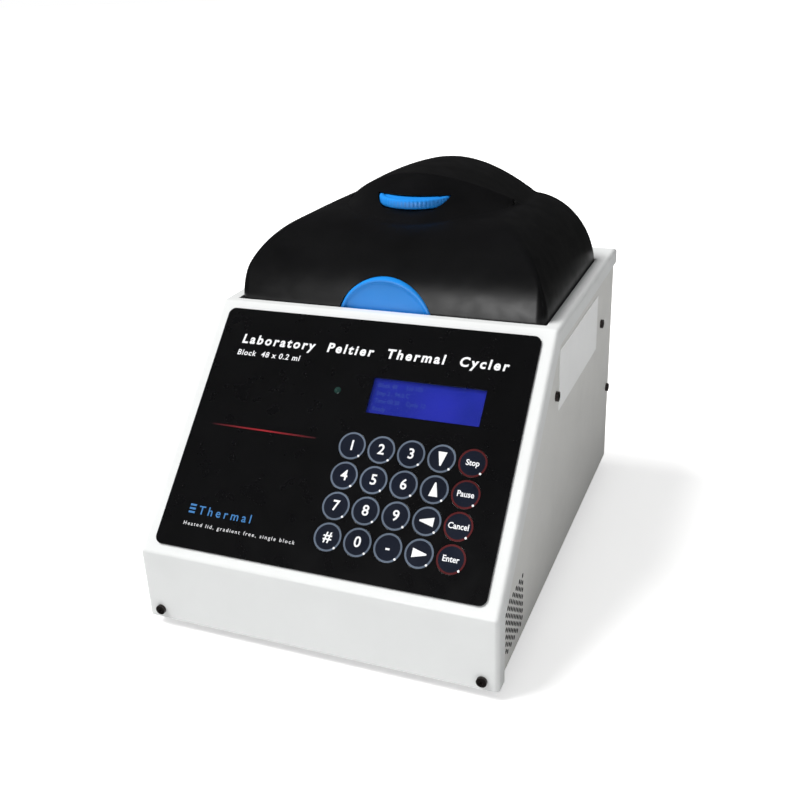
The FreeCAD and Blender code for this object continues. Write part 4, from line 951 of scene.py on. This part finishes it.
def camera():
    """Camera at three-quarter height in front and to the right, rolled slightly."""
    back = Vector((math.sin(AZIMUTH) * math.cos(ELEVATION), -math.cos(AZIMUTH) * math.cos(ELEVATION),
                   math.sin(ELEVATION)))
    right = Vector((math.cos(AZIMUTH), math.sin(AZIMUTH), 0))
    up = back.cross(right)
    rolled_right = math.cos(ROLL) * right + math.sin(ROLL) * up
    rolled_up = -math.sin(ROLL) * right + math.cos(ROLL) * up
    data = bpy.data.cameras.new("camera")
    data.lens = LENS
    data.clip_start = 0.01
    item = bpy.data.objects.new("camera", data)
    place = TARGET - SHIFT[0] * rolled_right - SHIFT[1] * rolled_up + DISTANCE * back
    turn = Matrix((rolled_right, rolled_up, back)).transposed()
    item.matrix_world = Matrix.Translation(place * MM) @ turn.to_4x4()
    bpy.context.scene.collection.objects.link(item)
    bpy.context.scene.camera = item


def sun_light(name, towards, power):
    """Wide soft light from one direction, kept out of reflections."""
    data = bpy.data.lights.new(name, "SUN")
    data.angle = math.radians(30)
    data.energy = power
    data.color = (1, 0.995, 0.985)
    item = bpy.data.objects.new(name, data)
    item.rotation_euler = Vector(towards).to_track_quat("Z", "Y").to_euler()
    item.visible_glossy = False
    bpy.context.scene.collection.objects.link(item)


def area_light(name, place, size, power, aim):
    """Small panel that shows only as a sheen on glossy surfaces."""
    data = bpy.data.lights.new(name, "AREA")
    data.shape = "RECTANGLE"
    data.size, data.size_y = size[0] * MM, size[1] * MM
    data.energy = power
    item = bpy.data.objects.new(name, data)
    item.location = Vector(place) * MM
    item.rotation_euler = (Vector(place) - Vector(aim)).to_track_quat("Z", "Y").to_euler()
    item.visible_diffuse = False
    item.visible_camera = False
    bpy.context.scene.collection.objects.link(item)


def stage():
    """Pale floor, white surroundings and soft lights."""
    bm = bmesh.new()
    corners = [(x * FLOOR_REACH, y * FLOOR_REACH) for x, y in ((-1, -1), (1, -1), (1, 1), (-1, 1))]
    skin_loops(bm, [[Vector((x, y, z)) for x, y in corners] for z in (-10, 0)])
    floor = finish_mesh("floor", bm, [pale_floor()], None)
    floor.visible_glossy = False
    surroundings()
    sun_light("key_light", KEY_LIGHT, KEY_POWER)
    area_light("front_sheen", SHEEN_PLACE, SHEEN_SIZE, SHEEN_POWER, SHEEN_AIM)


def pale_floor():
    """Matt white ground that glows a little to the camera, so that it melts into the backdrop."""
    shader = Shader("floor_pale")
    shader.plug(shader.blend(shader.spread(shader.noise(60), 0, 1), (0.90, 0.90, 0.90), (0.92, 0.92, 0.92)),
                "Base Color")
    shader.set(Roughness=0.7, Emission_Color=(1, 1, 1, 1))
    path = shader.nodes.new("ShaderNodeLightPath")
    shader.plug(shader.spread(path.outputs["Is Camera Ray"], 0, FLOOR_GLOW, 0, 1), "Emission Strength")
    shader.relief(shader.noise(3, 2.0), 0.01)
    return shader.material


def surroundings():
    """White backdrop for the camera; a dimmer room for diffuse light and a dim one in reflections."""
    world = bpy.data.worlds.new("world")
    bpy.context.scene.world = world
    world.use_nodes = True
    nodes = world.node_tree.nodes
    links = world.node_tree.links
    path = nodes.new("ShaderNodeLightPath")
    seen = nodes.new("ShaderNodeMix")
    mirrored = nodes.new("ShaderNodeMix")
    mirrored.inputs["A"].default_value = ROOM_LIGHT
    mirrored.inputs["B"].default_value = ROOM_MIRRORED
    seen.inputs["B"].default_value = 1.0
    links.new(path.outputs["Is Glossy Ray"], mirrored.inputs["Factor"])
    links.new(mirrored.outputs["Result"], seen.inputs["A"])
    links.new(path.outputs["Is Camera Ray"], seen.inputs["Factor"])
    background = nodes["Background"]
    background.inputs["Color"].default_value = (1, 1, 1, 1)
    links.new(seen.outputs["Result"], background.inputs["Strength"])


dress_cad_nodes()
lid_shell()
latch_button()
pressure_wheel()
key_print_and_glint()
overlay_print()
display_face()
stage()
camera()
bpy.context.scene.view_settings.view_transform = "Standard"
